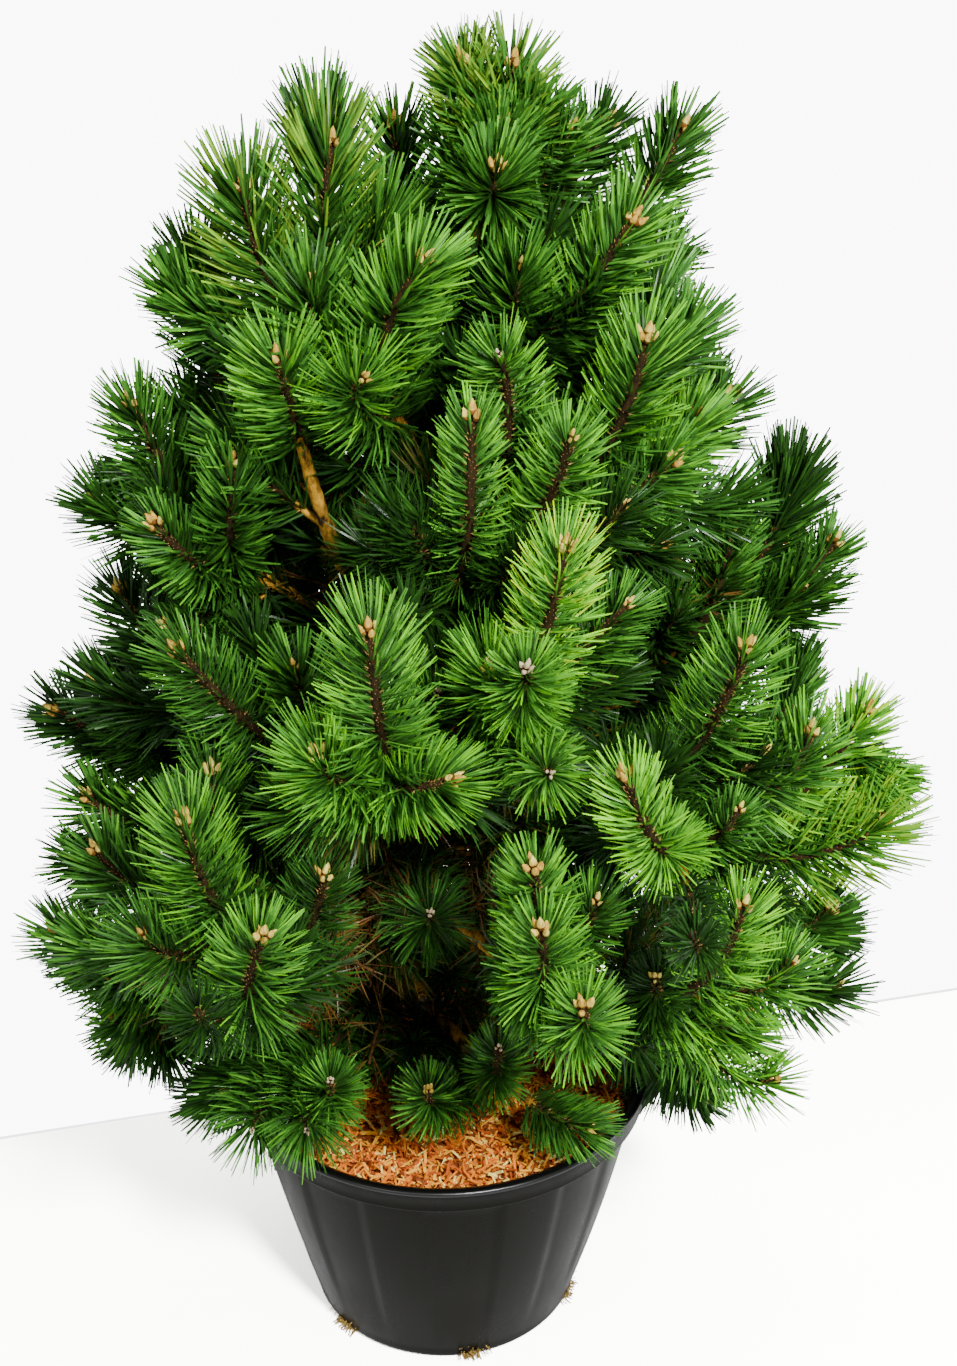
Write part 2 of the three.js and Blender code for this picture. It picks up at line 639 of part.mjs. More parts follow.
// The fill: substrate in the pot's inside, with a rough, slightly heaped top of bark.
function mulchSolid() {
  const random = dice(SEED + 9);
  const corners = [];
  const faces = [];
  const N = MULCH_SECTORS;
  const shrink = (r) => (r - 2 * GAP) * Math.cos(Math.PI / POT_SIDES) - GAP;
  const ring = (radius, height) => {
    const list = [];
    for (let k = 0; k < N; k++) {
      const a = 2 * Math.PI * k / N;
      const p = V(radius * Math.sin(a), -radius * Math.cos(a), 0);
      p.z = height(p);
      list.push(corners.push(p) - 1);
    }
    return list;
  };
  const seat = V(TRUNK_COURSE[0][0], TRUNK_COURSE[0][1], 0);
  const top = (p) => {
    const away = Math.hypot(p.x - seat.x, p.y - seat.y);
    const rough = (random() - 0.5) * 2 * MULCH_ROUGH;
    if (away < SEAT_RADIUS + 45) return SEAT_HEIGHT - 0.02;
    const t = Math.min(1, (away - SEAT_RADIUS - 45) / 120);
    return mix(SEAT_HEIGHT, MULCH_LEVEL, t) + rough - MULCH_ROUGH;
  };
  const floor = POT_WALL + GAP;
  const levels = [
    [BASE_RADIUS - BASE_ROUNDING - 2, floor],
    [shrink(innerRadius(BASE_ROUNDING)), BASE_ROUNDING + 1],
    [shrink(innerRadius(MULCH_LEVEL - 11)), MULCH_LEVEL - 11],
  ];
  const rings = levels.map(([radius, z]) => ring(radius, () => z));
  const outer = shrink(innerRadius(MULCH_LEVEL - 11));
  rings.push(ring(outer, () => MULCH_LEVEL - 4));
  for (let j = 1; j < MULCH_RINGS; j++) rings.push(ring(outer * (1 - j / MULCH_RINGS), top));
  for (let i = 0; i + 1 < rings.length; i++) {
    for (let k = 0; k < N; k++) {
      const n = (k + 1) % N;
      faces.push([rings[i][k], rings[i][n], rings[i + 1][n]]);
      faces.push([rings[i][k], rings[i + 1][n], rings[i + 1][k]]);
    }
  }
  const foot = corners.push(V(0, 0, floor)) - 1;
  const crown = corners.push(V(0, 0, top(V(0, 0, 0)))) - 1;
  const last = rings[rings.length - 1];
  for (let k = 0; k < N; k++) {
    const n = (k + 1) % N;
    faces.push([foot, rings[0][n], rings[0][k]], [last[k], last[n], crown]);
  }
  return solidFrom(corners, faces);
}

// ---------------------------------------------------------------- the part
const LOOKS = {
  pot: { color: 0x1b1c1d, roughness: 0.45, metalness: 0 },
  mulch: { color: 0xb5613a, roughness: 0.95, metalness: 0 },
  bark: { color: 0x5b4632, roughness: 0.9, metalness: 0 },
  foliage: { color: 0x3f7a22, roughness: 0.6, metalness: 0 },
};

function piece(name, solid, look) {
  const mesh = new THREE.Mesh(geometryOf(solid), new THREE.MeshStandardMaterial(LOOKS[look]));
  mesh.name = name;
  return mesh;
}

const plant = new THREE.Group();
plant.name = 'potted_mugo_pine';
plant.add(piece('pot', potSolid(), 'pot'));
plant.add(piece('mulch', mulchSolid(), 'mulch'));
plant.add(piece('trunk', trunk, 'bark'));

for (const bough of boughs) {
  const solid = largest(tube(bough.stations, BOUGH_SIDES).subtract(trunkClearance));
  plant.add(piece('bough_' + bough.mass, solid, 'bark'));
}

MASSES.forEach((row, index) => {
  const random = dice(SEED + 7000 + 31 * index);
  let solid = null;
  for (const shoot of kept) {
    if (shoot.mass !== row.name) continue;
    const grown = shootSolid(shoot, random);
    solid = solid ? solid.add(grown) : grown;
  }
  if (!row.stem) solid = solid.subtract(trunkClearance);
  plant.add(piece('foliage_' + row.name, largest(solid), 'foliage'));
});

export default plant;
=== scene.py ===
# Potted mugo pine: the looks. The crown grows by the same seeded rule as the part's
# source, carried on to finer shoots, single needles, buds and bark.
import math
from collections import namedtuple
from dataclasses import dataclass, replace

import bpy
import numpy as np
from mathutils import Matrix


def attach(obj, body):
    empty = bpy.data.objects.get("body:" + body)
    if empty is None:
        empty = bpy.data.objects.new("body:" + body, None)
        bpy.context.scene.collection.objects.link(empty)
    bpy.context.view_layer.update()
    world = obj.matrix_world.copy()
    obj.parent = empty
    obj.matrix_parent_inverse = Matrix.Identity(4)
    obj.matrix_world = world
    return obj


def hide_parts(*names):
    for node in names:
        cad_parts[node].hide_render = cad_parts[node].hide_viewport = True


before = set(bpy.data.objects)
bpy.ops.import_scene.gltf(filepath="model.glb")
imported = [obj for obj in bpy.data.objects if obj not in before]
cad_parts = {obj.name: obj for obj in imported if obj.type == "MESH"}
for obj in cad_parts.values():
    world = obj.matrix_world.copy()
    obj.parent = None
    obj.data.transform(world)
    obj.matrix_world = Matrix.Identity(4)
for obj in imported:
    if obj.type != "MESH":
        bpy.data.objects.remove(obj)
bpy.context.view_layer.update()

MM = 0.001
RAD = math.pi / 180
TURN = 2 * math.pi
UP = np.array([0, 0, 1.0])

# ---- driving sizes, in mm
POT_HEIGHT = 308
LIP_RADIUS = 235
COLLAR_RADIUS = 231
COLLAR_HEIGHT = 23
SHOULDER_RADIUS = 222
BASE_RADIUS = 156
BASE_ROUNDING = 12
DRAIN_COUNT = 6
DRAIN_TURN = 12
DRAIN_WIDTH = 24
DRAIN_HEIGHT = 9
MULCH_LEVEL = 276
MULCH_ROUGH = 3
SEAT_HEIGHT = MULCH_LEVEL + 10
GAP = 0.3
TRUNK_FLARE = 1.45
TRUNK_FLARE_HEIGHT = 60
TRUNK_COURSE = [  # x, y, height, radius
    (-80, 45, SEAT_HEIGHT + GAP, 27),
    (-70, 34, 420, 23),
    (-54, 22, 600, 20),
    (-40, 12, 760, 17),
    (-24, 4, 910, 14),
    (-4, 2, 1050, 11),
    (14, 0, 1160, 9),
    (28, -2, 1230, 7.5),
]
TRUNK_X, TRUNK_Y, TRUNK_Z, TRUNK_RADII = np.array(TRUNK_COURSE).T
TRUNK_TOP = TRUNK_COURSE[-1][2]
BOUGH_RADIUS = 11
STEM_RADIUS = 6
CORE_RADIUS = 13
LEADER_FOLIAGE = 200
SHOOT_FOLIAGE = 140
LEADER_RINGS = 5
SHOOT_RINGS = 3
WHORL_BELOW = 150
SHORTEST_SHOOT = 100
START_HANDLE = 0.3
END_HANDLE = 0.58
SAG = 40
SAMPLES = 40
SEED = 4711

# A bud's azimuth, distance from the axis and height; the azimuth and rise of its heading; its
# side shoots' count, first turn, spread and drop. Azimuth 0 faces the camera. Degrees and mm.
Bud = namedtuple("Bud", "at reach height facing rise shoots turn spread drop")

# Each mass: its name, the height at which it leaves the trunk, the length of its own stem
# (0 with no bough before it) and its buds.
MASSES = [
    ("top", 1228, 0,
     (74, 71, 1405, 107, 83, 2, -160, 55, 60), (57, 27, 1406, -98, 77, 2, 170, 55, 60),
     (26, 120, 1329, 50, 77, 2, -60, 60, 90), (50, 78, 1353, 67, 73, 0, 150, 60, 60)),
    ("top_left", 1000, 260,
     (-77, 100, 1336, 77, 81, 1, 160, 65, 70), (-83, 181, 1296, -68, 84, 2, -160, 75, 90)),
    ("upper_front", 1030, 0,
     (-4, 158, 1259, 69, 52, 3, -130, 60, 90)),
    ("left_shoulder", 850, 240,
     (-43, 205, 1172, -29, 72, 2, -100, 70, 95)),
    ("left_high", 830, 260,
     (-86, 298, 1090, -72, 70, 2, -170, 65, 80), (-58, 225, 1063, 141, 84, 0, -140, 70, 90),
     (-95, 236, 1184, -92, 73, 1, 180, 60, 90), (-64, 293, 1007, -67, 55, 1, -170, 60, 80)),
    ("front_high", 880, 280,
     (7, 261, 1152, 1, 88, 2, -90, 50, 110), (23, 293, 1137, 23, 65, 1, 120, 60, 80),
     (13, 239, 1199, -18, 49, 1, 160, 60, 80)),
    ("right_high", 960, 270,
     (45, 258, 1199, 48, 78, 2, 120, 65, 90), (86, 280, 1098, 88, 55, 2, -160, 60, 75),
     (50, 272, 1086, 74, 49, 1, 180, 55, 70)),
    ("top_right", 1090, 270,
     (59, 201, 1284, 69, 59, 2, 160, 60, 90), (94, 225, 1343, 88, 63, 1, -160, 50, 90),
     (101, 159, 1347, 88, 55, 2, -20, 50, 80)),
    ("yellow_front", 770, 280,
     (19, 335, 1056, 46, 79, 1, -70, 55, 100), (12, 369, 967, 0, 51, 2, 150, 60, 60),
     (36, 286, 970, 85, 52, 1, 170, 50, 70)),
    ("middle_front", 725, 260,
     (-9, 347, 991, -39, 84, 1, -120, 60, 120), (-17, 344, 870, -51, 61, 1, -130, 60, 70),
     (2, 335, 848, 65, 26, 1, 180, 60, 70), (0, 270, 902, 16, 48, 0, 100, 50, 50)),
    ("left_middle", 670, 260,
     (-51, 309, 908, -69, 56, 2, 180, 65, 80), (-88, 325, 892, -104, 65, 2, 160, 65, 75)),
    ("left_outer", 600, 270,
     (-91, 408, 748, -82, 35, 2, -120, 65, 70), (-85, 375, 667, -85, 55, 2, 170, 65, 60)),
    ("left_front", 560, 270,
     (-40, 361, 774, -86, 83, 1, 160, 60, 100), (-75, 368, 637, -88, 64, 2, 170, 65, 70),
     (-49, 290, 779, 136, 86, 1, 100, 55, 70)),
    ("front_low_left", 520, 250,
     (-21, 423, 726, 45, 66, 2, -90, 60, 70), (-19, 318, 730, 30, 71, 0, 110, 55, 60)),
    ("front_inner", 600, 0,
     (-3, 201, 628, 2, 58, 2, 150, 50, 60)),
    ("left_low", 440, 260,
     (-86, 425, 497, -91, 44, 2, -130, 60, 70), (-80, 368, 407, -55, 56, 1, -110, 60, 60)),
    ("front_low_right", 560, 260,
     (12, 405, 795, -23, 73, 1, 50, 55, 60), (12, 435, 751, -22, 76, 0, 70, 60, 70),
     (16, 459, 684, -18, 64, 0, 80, 60, 60)),
    ("right_middle", 640, 270,
     (53, 353, 918, 54, 75, 2, 130, 65, 110), (65, 392, 809, 79, 81, 1, 10, 60, 90),
     (23, 414, 874, -107, 69, 1, 60, 60, 110), (48, 374, 771, 77, 69, 0, 160, 60, 80),
     (80, 362, 825, 146, 79, 0, -120, 55, 60)),
    ("right_high_outer", 730, 270,
     (93, 351, 984, 105, 70, 1, -130, 60, 90), (84, 290, 966, 129, 79, 1, 40, 55, 70),
     (89, 393, 943, 92, 62, 0, -170, 50, 70)),
    ("right_outer", 570, 280,
     (84, 463, 648, 81, 59, 1, 30, 60, 80), (90, 444, 751, 98, 64, 2, -160, 55, 70)),
    ("front_right_low", 480, 270,
     (42, 418, 703, 46, 78, 2, -60, 65, 80), (51, 384, 534, 33, 66, 1, 160, 65, 60),
     (34, 363, 620, -17, 59, 0, 80, 55, 50)),
    ("right_low", 430, 260,
     (87, 421, 521, 91, 55, 3, -160, 65, 70), (73, 291, 343, 42, 14, 2, 140, 65, 50)),
    ("rim_left", 350, 0,
     (-33, 257, 376, 9, 4, 1, -110, 60, 40), (-66, 261, 343, -44, -1, 2, -110, 60, 45),
     (-30, 231, 426, 8, 67, 0, 100, 60, 40)),
    ("rim_right", 380, 0,
     (38, 247, 362, 69, 18, 0, 130, 50, 40), (16, 209, 467, -2, 70, 0, 90, 50, 40),
     (-4, 211, 422, 3, 67, 0, 90, 50, 40)),
    ("back_top", 1120, 0,
     (-145, 73, 1339, -119, 85, 2, 150, 60, 80), (140, 160, 1225, 140, 70, 2, 150, 70, 80)),
    ("back_high_left", 940, 0,
     (-120, 240, 1130, -120, 60, 2, 60, 80, 80), (-160, 225, 1120, -160, 62, 2, 150, 80, 80)),
    ("back_high_right", 920, 0,
     (143, 250, 1110, 143, 60, 2, 30, 80, 80), (116, 290, 1050, 116, 55, 2, 150, 80, 80)),
    ("back_left", 740, 270,
     (-117, 370, 900, -117, 50, 2, 30, 80, 70), (-150, 360, 930, -150, 55, 2, 180, 80, 80)),
    ("back", 720, 270,
     (180, 350, 960, 180, 60, 2, 60, 80, 80), (167, 400, 820, 167, 40, 2, 180, 80, 70)),
    ("back_right", 680, 270,
     (139, 383, 900, 139, 50, 2, 0, 80, 70), (117, 425, 860, 117, 48, 2, 120, 80, 70)),
    ("back_low_left", 520, 270,
     (-123, 427, 600, -123, 28, 2, 30, 80, 60), (-151, 440, 700, -151, 38, 2, 0, 80, 60),
     (-175, 442, 600, -175, 30, 2, 180, 80, 60)),
    ("back_low_right", 540, 270,
     (146, 446, 640, 146, 35, 2, 0, 80, 60), (119, 457, 560, 119, 24, 2, 180, 80, 60),
     (172, 410, 500, 172, 20, 2, 0, 80, 60)),
    ("rim_back", 370, 0,
     (-154, 312, 420, -154, 10, 2, 0, 75, 45), (158, 305, 410, 158, 10, 2, 0, 75, 45)),
]


# ---- the source's rule
def dice(seed):
    state = [seed & 0xFFFFFFFF]

    def roll():
        state[0] = a = (state[0] + 0x6D2B79F5) & 0xFFFFFFFF
        t = ((a ^ (a >> 15)) * (a | 1)) & 0xFFFFFFFF
        t ^= (t + (((t ^ (t >> 7)) * (t | 61)) & 0xFFFFFFFF)) & 0xFFFFFFFF
        t &= 0xFFFFFFFF
        return ((t ^ (t >> 14)) & 0xFFFFFFFF) / 4294967296
    return roll


def unit(v):
    return v / max(1e-9, np.linalg.norm(v))


def bezier(p0, p1, p2, p3, count):
    t = np.linspace(0, 1, count + 1)[:, None]
    s = 1 - t
    return s ** 3 * p0 + 3 * s * s * t * p1 + 3 * s * t * t * p2 + t ** 3 * p3


class Course:
    """A polyline that knows its length, with the point and heading at any distance."""

    def __init__(self, points):
        self.points = np.asarray(points, float)
        steps = np.linalg.norm(np.diff(self.points, axis=0), axis=1)
        self.at = np.concatenate([[0], np.cumsum(steps)])
        self.total = float(self.at[-1])
        self.tip = self.points[-1]

    def point(self, d):
        return np.stack([np.interp(d, self.at, axis) for axis in self.points.T], -1)

    def heading(self, d, step=6.0):
        ahead = self.point(np.minimum(self.total, d + step))
        h = ahead - self.point(np.maximum(0, d - step))
        return h / np.maximum(1e-9, np.linalg.norm(h, axis=-1, keepdims=True))


Bough = namedtuple("Bough", "mass line to")


@dataclass(eq=False)
class Shoot:
    mass: str
    order: int          # of the leader that it is or grows from, in its mass
    kind: str
    line: Course
    foliage: float      # length of the leafy stretch that ends at the bud
    start: float = 0    # where on the line the shoot begins
    first: bool = False
    bud: Bud = None
    roll: float = 0

    @property
    def place(self):
        return self.mass, self.order


def outwards(azimuth):
    return np.array([math.sin(azimuth * RAD), -math.cos(azimuth * RAD), 0])


def rightwards(out):
    return np.array([-out[1], out[0], 0])


def limb_course(start, heading, tip, direction):
    reach = np.linalg.norm(start - tip)
    handle = END_HANDLE * reach
    lowest = start[2] - SAG
    if tip[2] - direction[2] * handle < lowest:
        handle = (tip[2] - lowest) / direction[2]
    p1 = start + heading * START_HANDLE * reach
    p2 = tip - direction * max(0.2 * reach, handle)
    return Course(bezier(start, p1, p2, tip, SAMPLES))


def trunk_at(height):
    x, y, r = (np.interp(height, TRUNK_Z, axis) for axis in (TRUNK_X, TRUNK_Y, TRUNK_RADII))
    return np.array([x, y, height]), r


def lay_out():
    shoots, boughs = [], []
    for index, (name, leave, stem, *rows) in enumerate(MASSES):
        random = dice(SEED + 101 * index)
        root, _ = trunk_at(min(leave, TRUNK_TOP - 2))
        main, handover = None, 0
        for order, b in enumerate(Bud(*row) for row in rows):
            tip = outwards(b.at) * b.reach + UP * b.height
            out, rise = outwards(b.facing), b.rise * RAD
            direction = out * math.cos(rise) + UP * math.sin(rise)
            back = -out * math.sin(rise) + UP * math.cos(rise)
            start = 0
            if order == 0:
                level = (tip - root) * (1, 1, 0)
                lift = 3 if leave >= TRUNK_TOP - 2 else 0.45
                heading = unit(unit(level) * min(1, np.linalg.norm(level) / 60) + UP * lift)
                main = line = limb_course(root, heading, tip, direction)
                if stem:
                    start = handover = line.total - stem
                    boughs.append(Bough(name, line, handover))
            else:
                fork = handover + 30 if stem else main.total * 0.42
                line = limb_course(main.point(fork), main.heading(fork), tip, direction)
            foliage = min(LEADER_FOLIAGE, (line.total - start) * 0.86)
            shoots.append(Shoot(name, order, "leader", line, foliage, start, order == 0, b))
            for k in range(b.shoots):
                a = (b.turn + k * 360 / b.shoots + (random() - 0.5) * 30) * RAD
                spread = b.spread * (0.85 + 0.3 * random())
                drop = b.drop * (0.8 + 0.4 * random())
                across = back * math.cos(a) + rightwards(out) * math.sin(a)
                end = tip - direction * drop + across * spread
                at = line.total - min(line.total - start - 20, max(WHORL_BELOW, drop + 90))
                foot = line.point(at)
                reach = np.linalg.norm(foot - end)
                leaving = unit(line.heading(at) * 0.55 + across * 0.8)
                close = unit(direction + across * 0.35)
                side = Course(bezier(foot, foot + leaving * 0.4 * reach,
                                     end - close * 0.35 * reach, end, SAMPLES))
                foliage = min(SHOOT_FOLIAGE, side.total * 0.82)
                shoots.append(Shoot(name, order, "side", side, foliage, bud=b))
    return shoots, boughs


def shoot_stations(shoot):
    """Points and radii down the solid that the source makes of a shoot."""
    line, start, leaf = shoot.line, shoot.start, shoot.line.total - shoot.foliage
    leader = shoot.kind == "leader"
    rings = LEADER_RINGS if leader else SHOOT_RINGS
    start += GAP / 2 if shoot.first and start > 0 else 0
    bare_radius = STEM_RADIUS if leader else 4
    bare = max(1, int(math.floor((leaf - start) / 120 + 0.5)))
    stations = [(line.point(start + (leaf - start) * i / bare), bare_radius * (1 - 0.15 * i / bare))
                for i in range(bare)]
    for i in range(rings + 1):
        swell = 0.55 if i == 0 else 0.75 if i == rings else 1
        stations.append((line.point(leaf + (line.total - leaf) * i / rings), CORE_RADIUS * swell))
    return stations


def pieces_of(mass_name, stations):
    return [(mass_name, a[0], b[0], max(a[1], b[1])) for a, b in zip(stations, stations[1:])]


def meets_pot(p, margin):
    reach = math.hypot(p[0], p[1])
    if reach < LIP_RADIUS - 14:
        return p[2] < SEAT_HEIGHT + MULCH_ROUGH + margin
    return reach < LIP_RADIUS + margin and p[2] < POT_HEIGHT + margin


def crowded(stations, pieces):
    a = np.array([q[1] for q in pieces])
    ab = np.array([q[2] for q in pieces]) - a
    r = np.array([q[3] for q in pieces])
    length2 = (ab ** 2).sum(1)
    for (before, _), (here, _) in zip(stations, stations[1:]):
        for p in (here, (here + before) / 2):
            t = np.clip(((p - a) * ab).sum(1) / length2, 0, 1)
            gap = np.linalg.norm(p - a - ab * t[:, None], axis=1) - r
            if meets_pot(p, CORE_RADIUS + 4) or (gap < CORE_RADIUS + 6).any():
                return True
    return False


def bough_radius(bough, d):
    start = STEM_RADIUS + (BOUGH_RADIUS - STEM_RADIUS) * min(1, bough.line.total / 600)
    return start + (STEM_RADIUS - start) * d / bough.to


def keep_shoots(shoots, boughs):
    fixed = pieces_of(None, [(np.array(c[:3], float), c[3]) for c in TRUNK_COURSE])
    for bough in boughs:
        count = max(2, int(math.floor(bough.to / 95 + 0.5)))
        at = [(bough.to - GAP / 2) * i / count for i in range(count + 1)]
        fixed += pieces_of(None, [(bough.line.point(d), bough_radius(bough, d)) for d in at])
    for shoot in shoots:
        if shoot.kind == "leader":
            fixed += pieces_of(shoot.mass, shoot_stations(shoot))
    kept = []
    for shoot in shoots:
        if shoot.kind == "side":
            stations = shoot_stations(shoot)
            others = [q for q in fixed if q[0] != shoot.mass]
            if shoot.line.total < SHORTEST_SHOOT or crowded(stations, others):
                continue
            fixed += pieces_of(shoot.mass, stations)
        kept.append(shoot)
    return kept


shoots, boughs = lay_out()
kept = keep_shoots(shoots, boughs)

# ---- finer shoots
# Whorls lower on each leader: distance below the bud, number of shoots and their length.
LOWER_WHORLS = ((235, 4, 95), (325, 3, 80))


def finer_shoots():
    random = dice(SEED + 555)
    fine = []
    for shoot in kept:
        if shoot.kind != "leader":
            continue
        line = shoot.line
        for below, count, size in LOWER_WHORLS:
            at = line.total - below
            first_turn = 360 * random()
            rolls = [(random(), random()) for _ in range(count)]
            if at < shoot.start + 5:
                continue
            here, heading = line.point(at), line.heading(at)
            side = unit(np.cross(heading, UP + 0.01))
            over = np.cross(side, heading)
            for k, (r1, r2) in enumerate(rolls):
                a = (first_turn + k * 360 / count + 40 * (r1 - 0.5)) * RAD
                across = side * math.cos(a) + over * math.sin(a)
                length = size * (0.75 + 0.6 * r2)
                end = here + (across * 0.75 + heading * 0.45 + UP * 0.25) * length
                if meets_pot(end, 25):
                    continue
                mid = here + across * 0.45 * length
                course = Course(bezier(here, mid, end - UP * 0.1 * length, end, 12))
                fine.append(Shoot(*shoot.place, "fine", course, length * 0.85))
    return fine


fine = finer_shoots()

# Side shoots that the solids leave out for want of room still bear needles here, except over
# the crown's dark hollows.
OPEN = {("middle_front", 2), ("front_inner", 0), ("front_high", 2), ("top", 2)}
fillers = [replace(s, kind="filler", foliage=s.line.total * 0.8) for s in shoots
           if s not in kept and s.place not in OPEN and not meets_pot(s.line.tip, 30)]

# Ends of bare golden limbs and dead tufts in the low hollow, and of dark tufts that shut the
# crown behind the right-hand shoots.
BARE_LIMBS = [(-175, -165, 495), (-90, -210, 470), (-20, -190, 520), (-130, -150, 570),
              (-216, -200, 526), (-231, -190, 549)]
DEAD_TUFTS = [(-275, -230, 564), (-259, -210, 542), (-216, -200, 526), (-186, -230, 564),
              (-147, -190, 513)]
SHADE_TUFTS = [(146, -150, 663), (130, -118, 668), (168, -120, 654), (156, -160, 645),
               (120, -150, 690), (180, -90, 690), (172, -150, 600), (166, -170, 560),
               (186, -120, 585), (316, 60, 760), (300, 60, 700), (346, 60, 718), (276, 40, 667),
               (239, 90, 734), (267, 90, 719), (300, 90, 734), (326, 100, 766), (279, 110, 751),
               (213, 90, 707)]
TUFTS_AT_EACH = 4
TUFT_STRAY = 14
LIMB_SWAY = 14

# Spurs every so far along a bough, and the share of them that lives; dead ones off the trunk
# in the hollow, and those all the way up it, which all live from a certain height.
SPUR_STEP = 22
SPUR_LENGTHS = (60, 120)
LIVING_SPURS = 0.72
HOLLOW_SPURS = 84
HOLLOW_HEIGHTS = (390, 640)
HOLLOW_LENGTHS = (70, 170)
TRUNK_SPUR_HEIGHTS = np.arange(345, 1130, 14)
TRUNK_SPUR_LENGTHS = (60, 130)
ALL_LIVE_FROM = 620


def old_spurs():
    """Short old spurs and dead twigs off the boughs and the trunk, and the limbs above."""
    random = np.random.default_rng(SEED)
    spurs = []

    def spur(here, heading, mass_name, length, kind):
        end = here + heading * length
        if meets_pot(end, 12) or meets_pot(here + heading * length * 0.5, 6):
            return
        sway = unit(random.normal(size=3)) * length * 0.12
        line = Course(bezier(here, here + heading * length * 0.35 + sway,
                             end - heading * length * 0.3 + UP * length * 0.06, end, 8))
        spurs.append(Shoot(mass_name, 0, kind, line, length * 0.75))

    def trunk_spur(height, azimuths, rises, lengths, living):
        here, radius = trunk_at(height)
        azimuth = random.uniform(*azimuths)
        heading = unit(np.array([math.sin(azimuth), -math.cos(azimuth), random.uniform(*rises)]))
        length = random.uniform(*lengths)
        lives = living and (height > ALL_LIVE_FROM or random.random() < living)
        spur(here + heading * radius * 0.5, heading, "front_inner", length,
             "spur" if lives else "dead")

    def limb(end, below, mass_name, kind, foliage):
        """A bowed limb off the trunk to an end, rooted lower than the end."""
        end = np.array(end, float)
        here, _ = trunk_at(end[2] - below)
        over = (here + end) / 2
        sway = unit(random.normal(size=3)) * LIMB_SWAY
        line = Course(bezier(here, over + sway - UP * 8, over + sway + UP * 4, end, 12))
        spurs.append(Shoot(mass_name, 0, kind, line, foliage))

    for bough in boughs:
        for d in np.arange(40, bough.to + 120, SPUR_STEP):
            if d > bough.line.total - 60:
                break
            heading = bough.line.heading(d)
            side = unit(np.cross(heading, unit(random.normal(size=3))))
            towards = unit(side + heading * 0.5 + UP * random.uniform(-0.1, 0.5))
            spur(bough.line.point(d), towards, bough.mass, random.uniform(*SPUR_LENGTHS),
                 "spur" if random.random() < LIVING_SPURS else "dead")
    for _ in range(HOLLOW_SPURS):
        height = random.uniform(*HOLLOW_HEIGHTS)
        trunk_spur(height, (-1.5, 1.5), (-0.25, 0.5), HOLLOW_LENGTHS, 0)
    for end in BARE_LIMBS:
        limb(end, 70, "front_inner", "limb", 0)
    for end in DEAD_TUFTS:
        for _ in range(TUFTS_AT_EACH):
            limb(np.array(end) + random.normal(0, TUFT_STRAY, 3), 50, "front_inner", "dead", 70)
    for end in SHADE_TUFTS:
        limb(end, 90, "front_low_right", "fine", 120)
    for height in TRUNK_SPUR_HEIGHTS:
        trunk_spur(height, (0, TURN), (-0.1, 0.6), TRUNK_SPUR_LENGTHS, 0.35)
    return spurs


spurs = old_spurs()


def branch_to(end, mass_name, order):
    """A small shoot to a given end off the nearest stretch of a leader."""
    leader = next(s for s in kept if s.kind == "leader" and s.place == (mass_name, order))
    line = leader.line
    at = min(np.arange(leader.start + 10, line.total - 40, 8),
             key=lambda d: np.linalg.norm(line.point(d) - end))
    here = line.point(at)
    length = np.linalg.norm(end - here)
    across = unit(end - here)
    course = Course(bezier(here, here + across * length * 0.4,
                           end - (across * 0.7 + UP * 0.5) * length * 0.3, end, 12))
    return Shoot(mass_name, order, "filler", course, min(105, course.total * 0.85))


# Ends of twigs that fill the crown's outline, and the leaders that bear them.
OUTER_TWIGS = [((225, -60, 1194), "right_high", 1), ((203, -50, 1232), "right_high", 0),
               ((-298, -80, 372), "left_low", 1), ((262, 120, 1080), "back_high_right", 1),
               ((352, 22, 1002), "right_high_outer", 0), ((310, -225, 500), "front_right_low", 1),
               ((-235, -5, 1215), "left_high", 2), ((470, -15, 682), "right_outer", 1),
               ((-368, 5, 322), "left_low", 1), ((-375, -20, 545), "left_outer", 1),
               ((222, -150, 1200), "right_high", 0), ((415, -15, 490), "right_low", 0),
               ((-262, -96, 325), "rim_left", 1), ((355, -55, 830), "right_middle", 4),
               ((-300, -8, 1010), "left_high", 0), ((-315, -12, 820), "left_middle", 1),
               ((-84, 0, 1348), "top_left", 0), ((-55, 40, 1337), "back_top", 0),
               ((-112, 30, 1344), "top_left", 0), ((-235, 30, 1224), "left_high", 2),
               ((232, -30, 293), "right_low", 1)]
fillers += [branch_to(np.array(end, float), *leader) for end, *leader in OUTER_TWIGS]

# Small shoots that would hang before a front leader's bud, a bare golden limb or a deep gap
# between the boughs are left out, as seen from VIEWER. The last number is the room left clear.
VIEWER = np.array([34.0, -1794.0, 1629.0])
CLEARING = 45
CLEARINGS = {("front_inner", 0): 78, ("rim_left", 0): 60, ("rim_left", 2): 55}
LEFT_CLEAR = [(-162, -15, 907, 26), (-196, -15, 918, 26), (-137, -15, 896, 26),
              (-101, -70, 1007, 26), (-113, -95, 1059, 26), (206, 20, 750, 44)]
to_be_seen = [(s.line.tip, CLEARINGS.get(s.place, CLEARING)) for s in kept
              if s.kind == "leader" and s.line.tip[1] < 60]
to_be_seen += [(np.array(point, float), room) for *point, room in LEFT_CLEAR]


def in_the_way(shoot):
    line = shoot.line
    points = line.point(np.linspace(max(0, line.total - shoot.foliage), line.total, 10))
    for spot, room in to_be_seen:
        sight = unit(VIEWER - spot)
        ahead = (points - spot) @ sight
        off = np.linalg.norm(points - spot - ahead[:, None] * sight, axis=1)
        if ((ahead > 5) & (off < room)).any():
            return True
    return False


all_shoots = kept + [s for s in fillers + fine + spurs if not in_the_way(s)]


# ---- meshes from arrays
def add_object(name, data):
    obj = bpy.data.objects.new(name, data)
    bpy.context.scene.collection.objects.link(obj)
    return obj


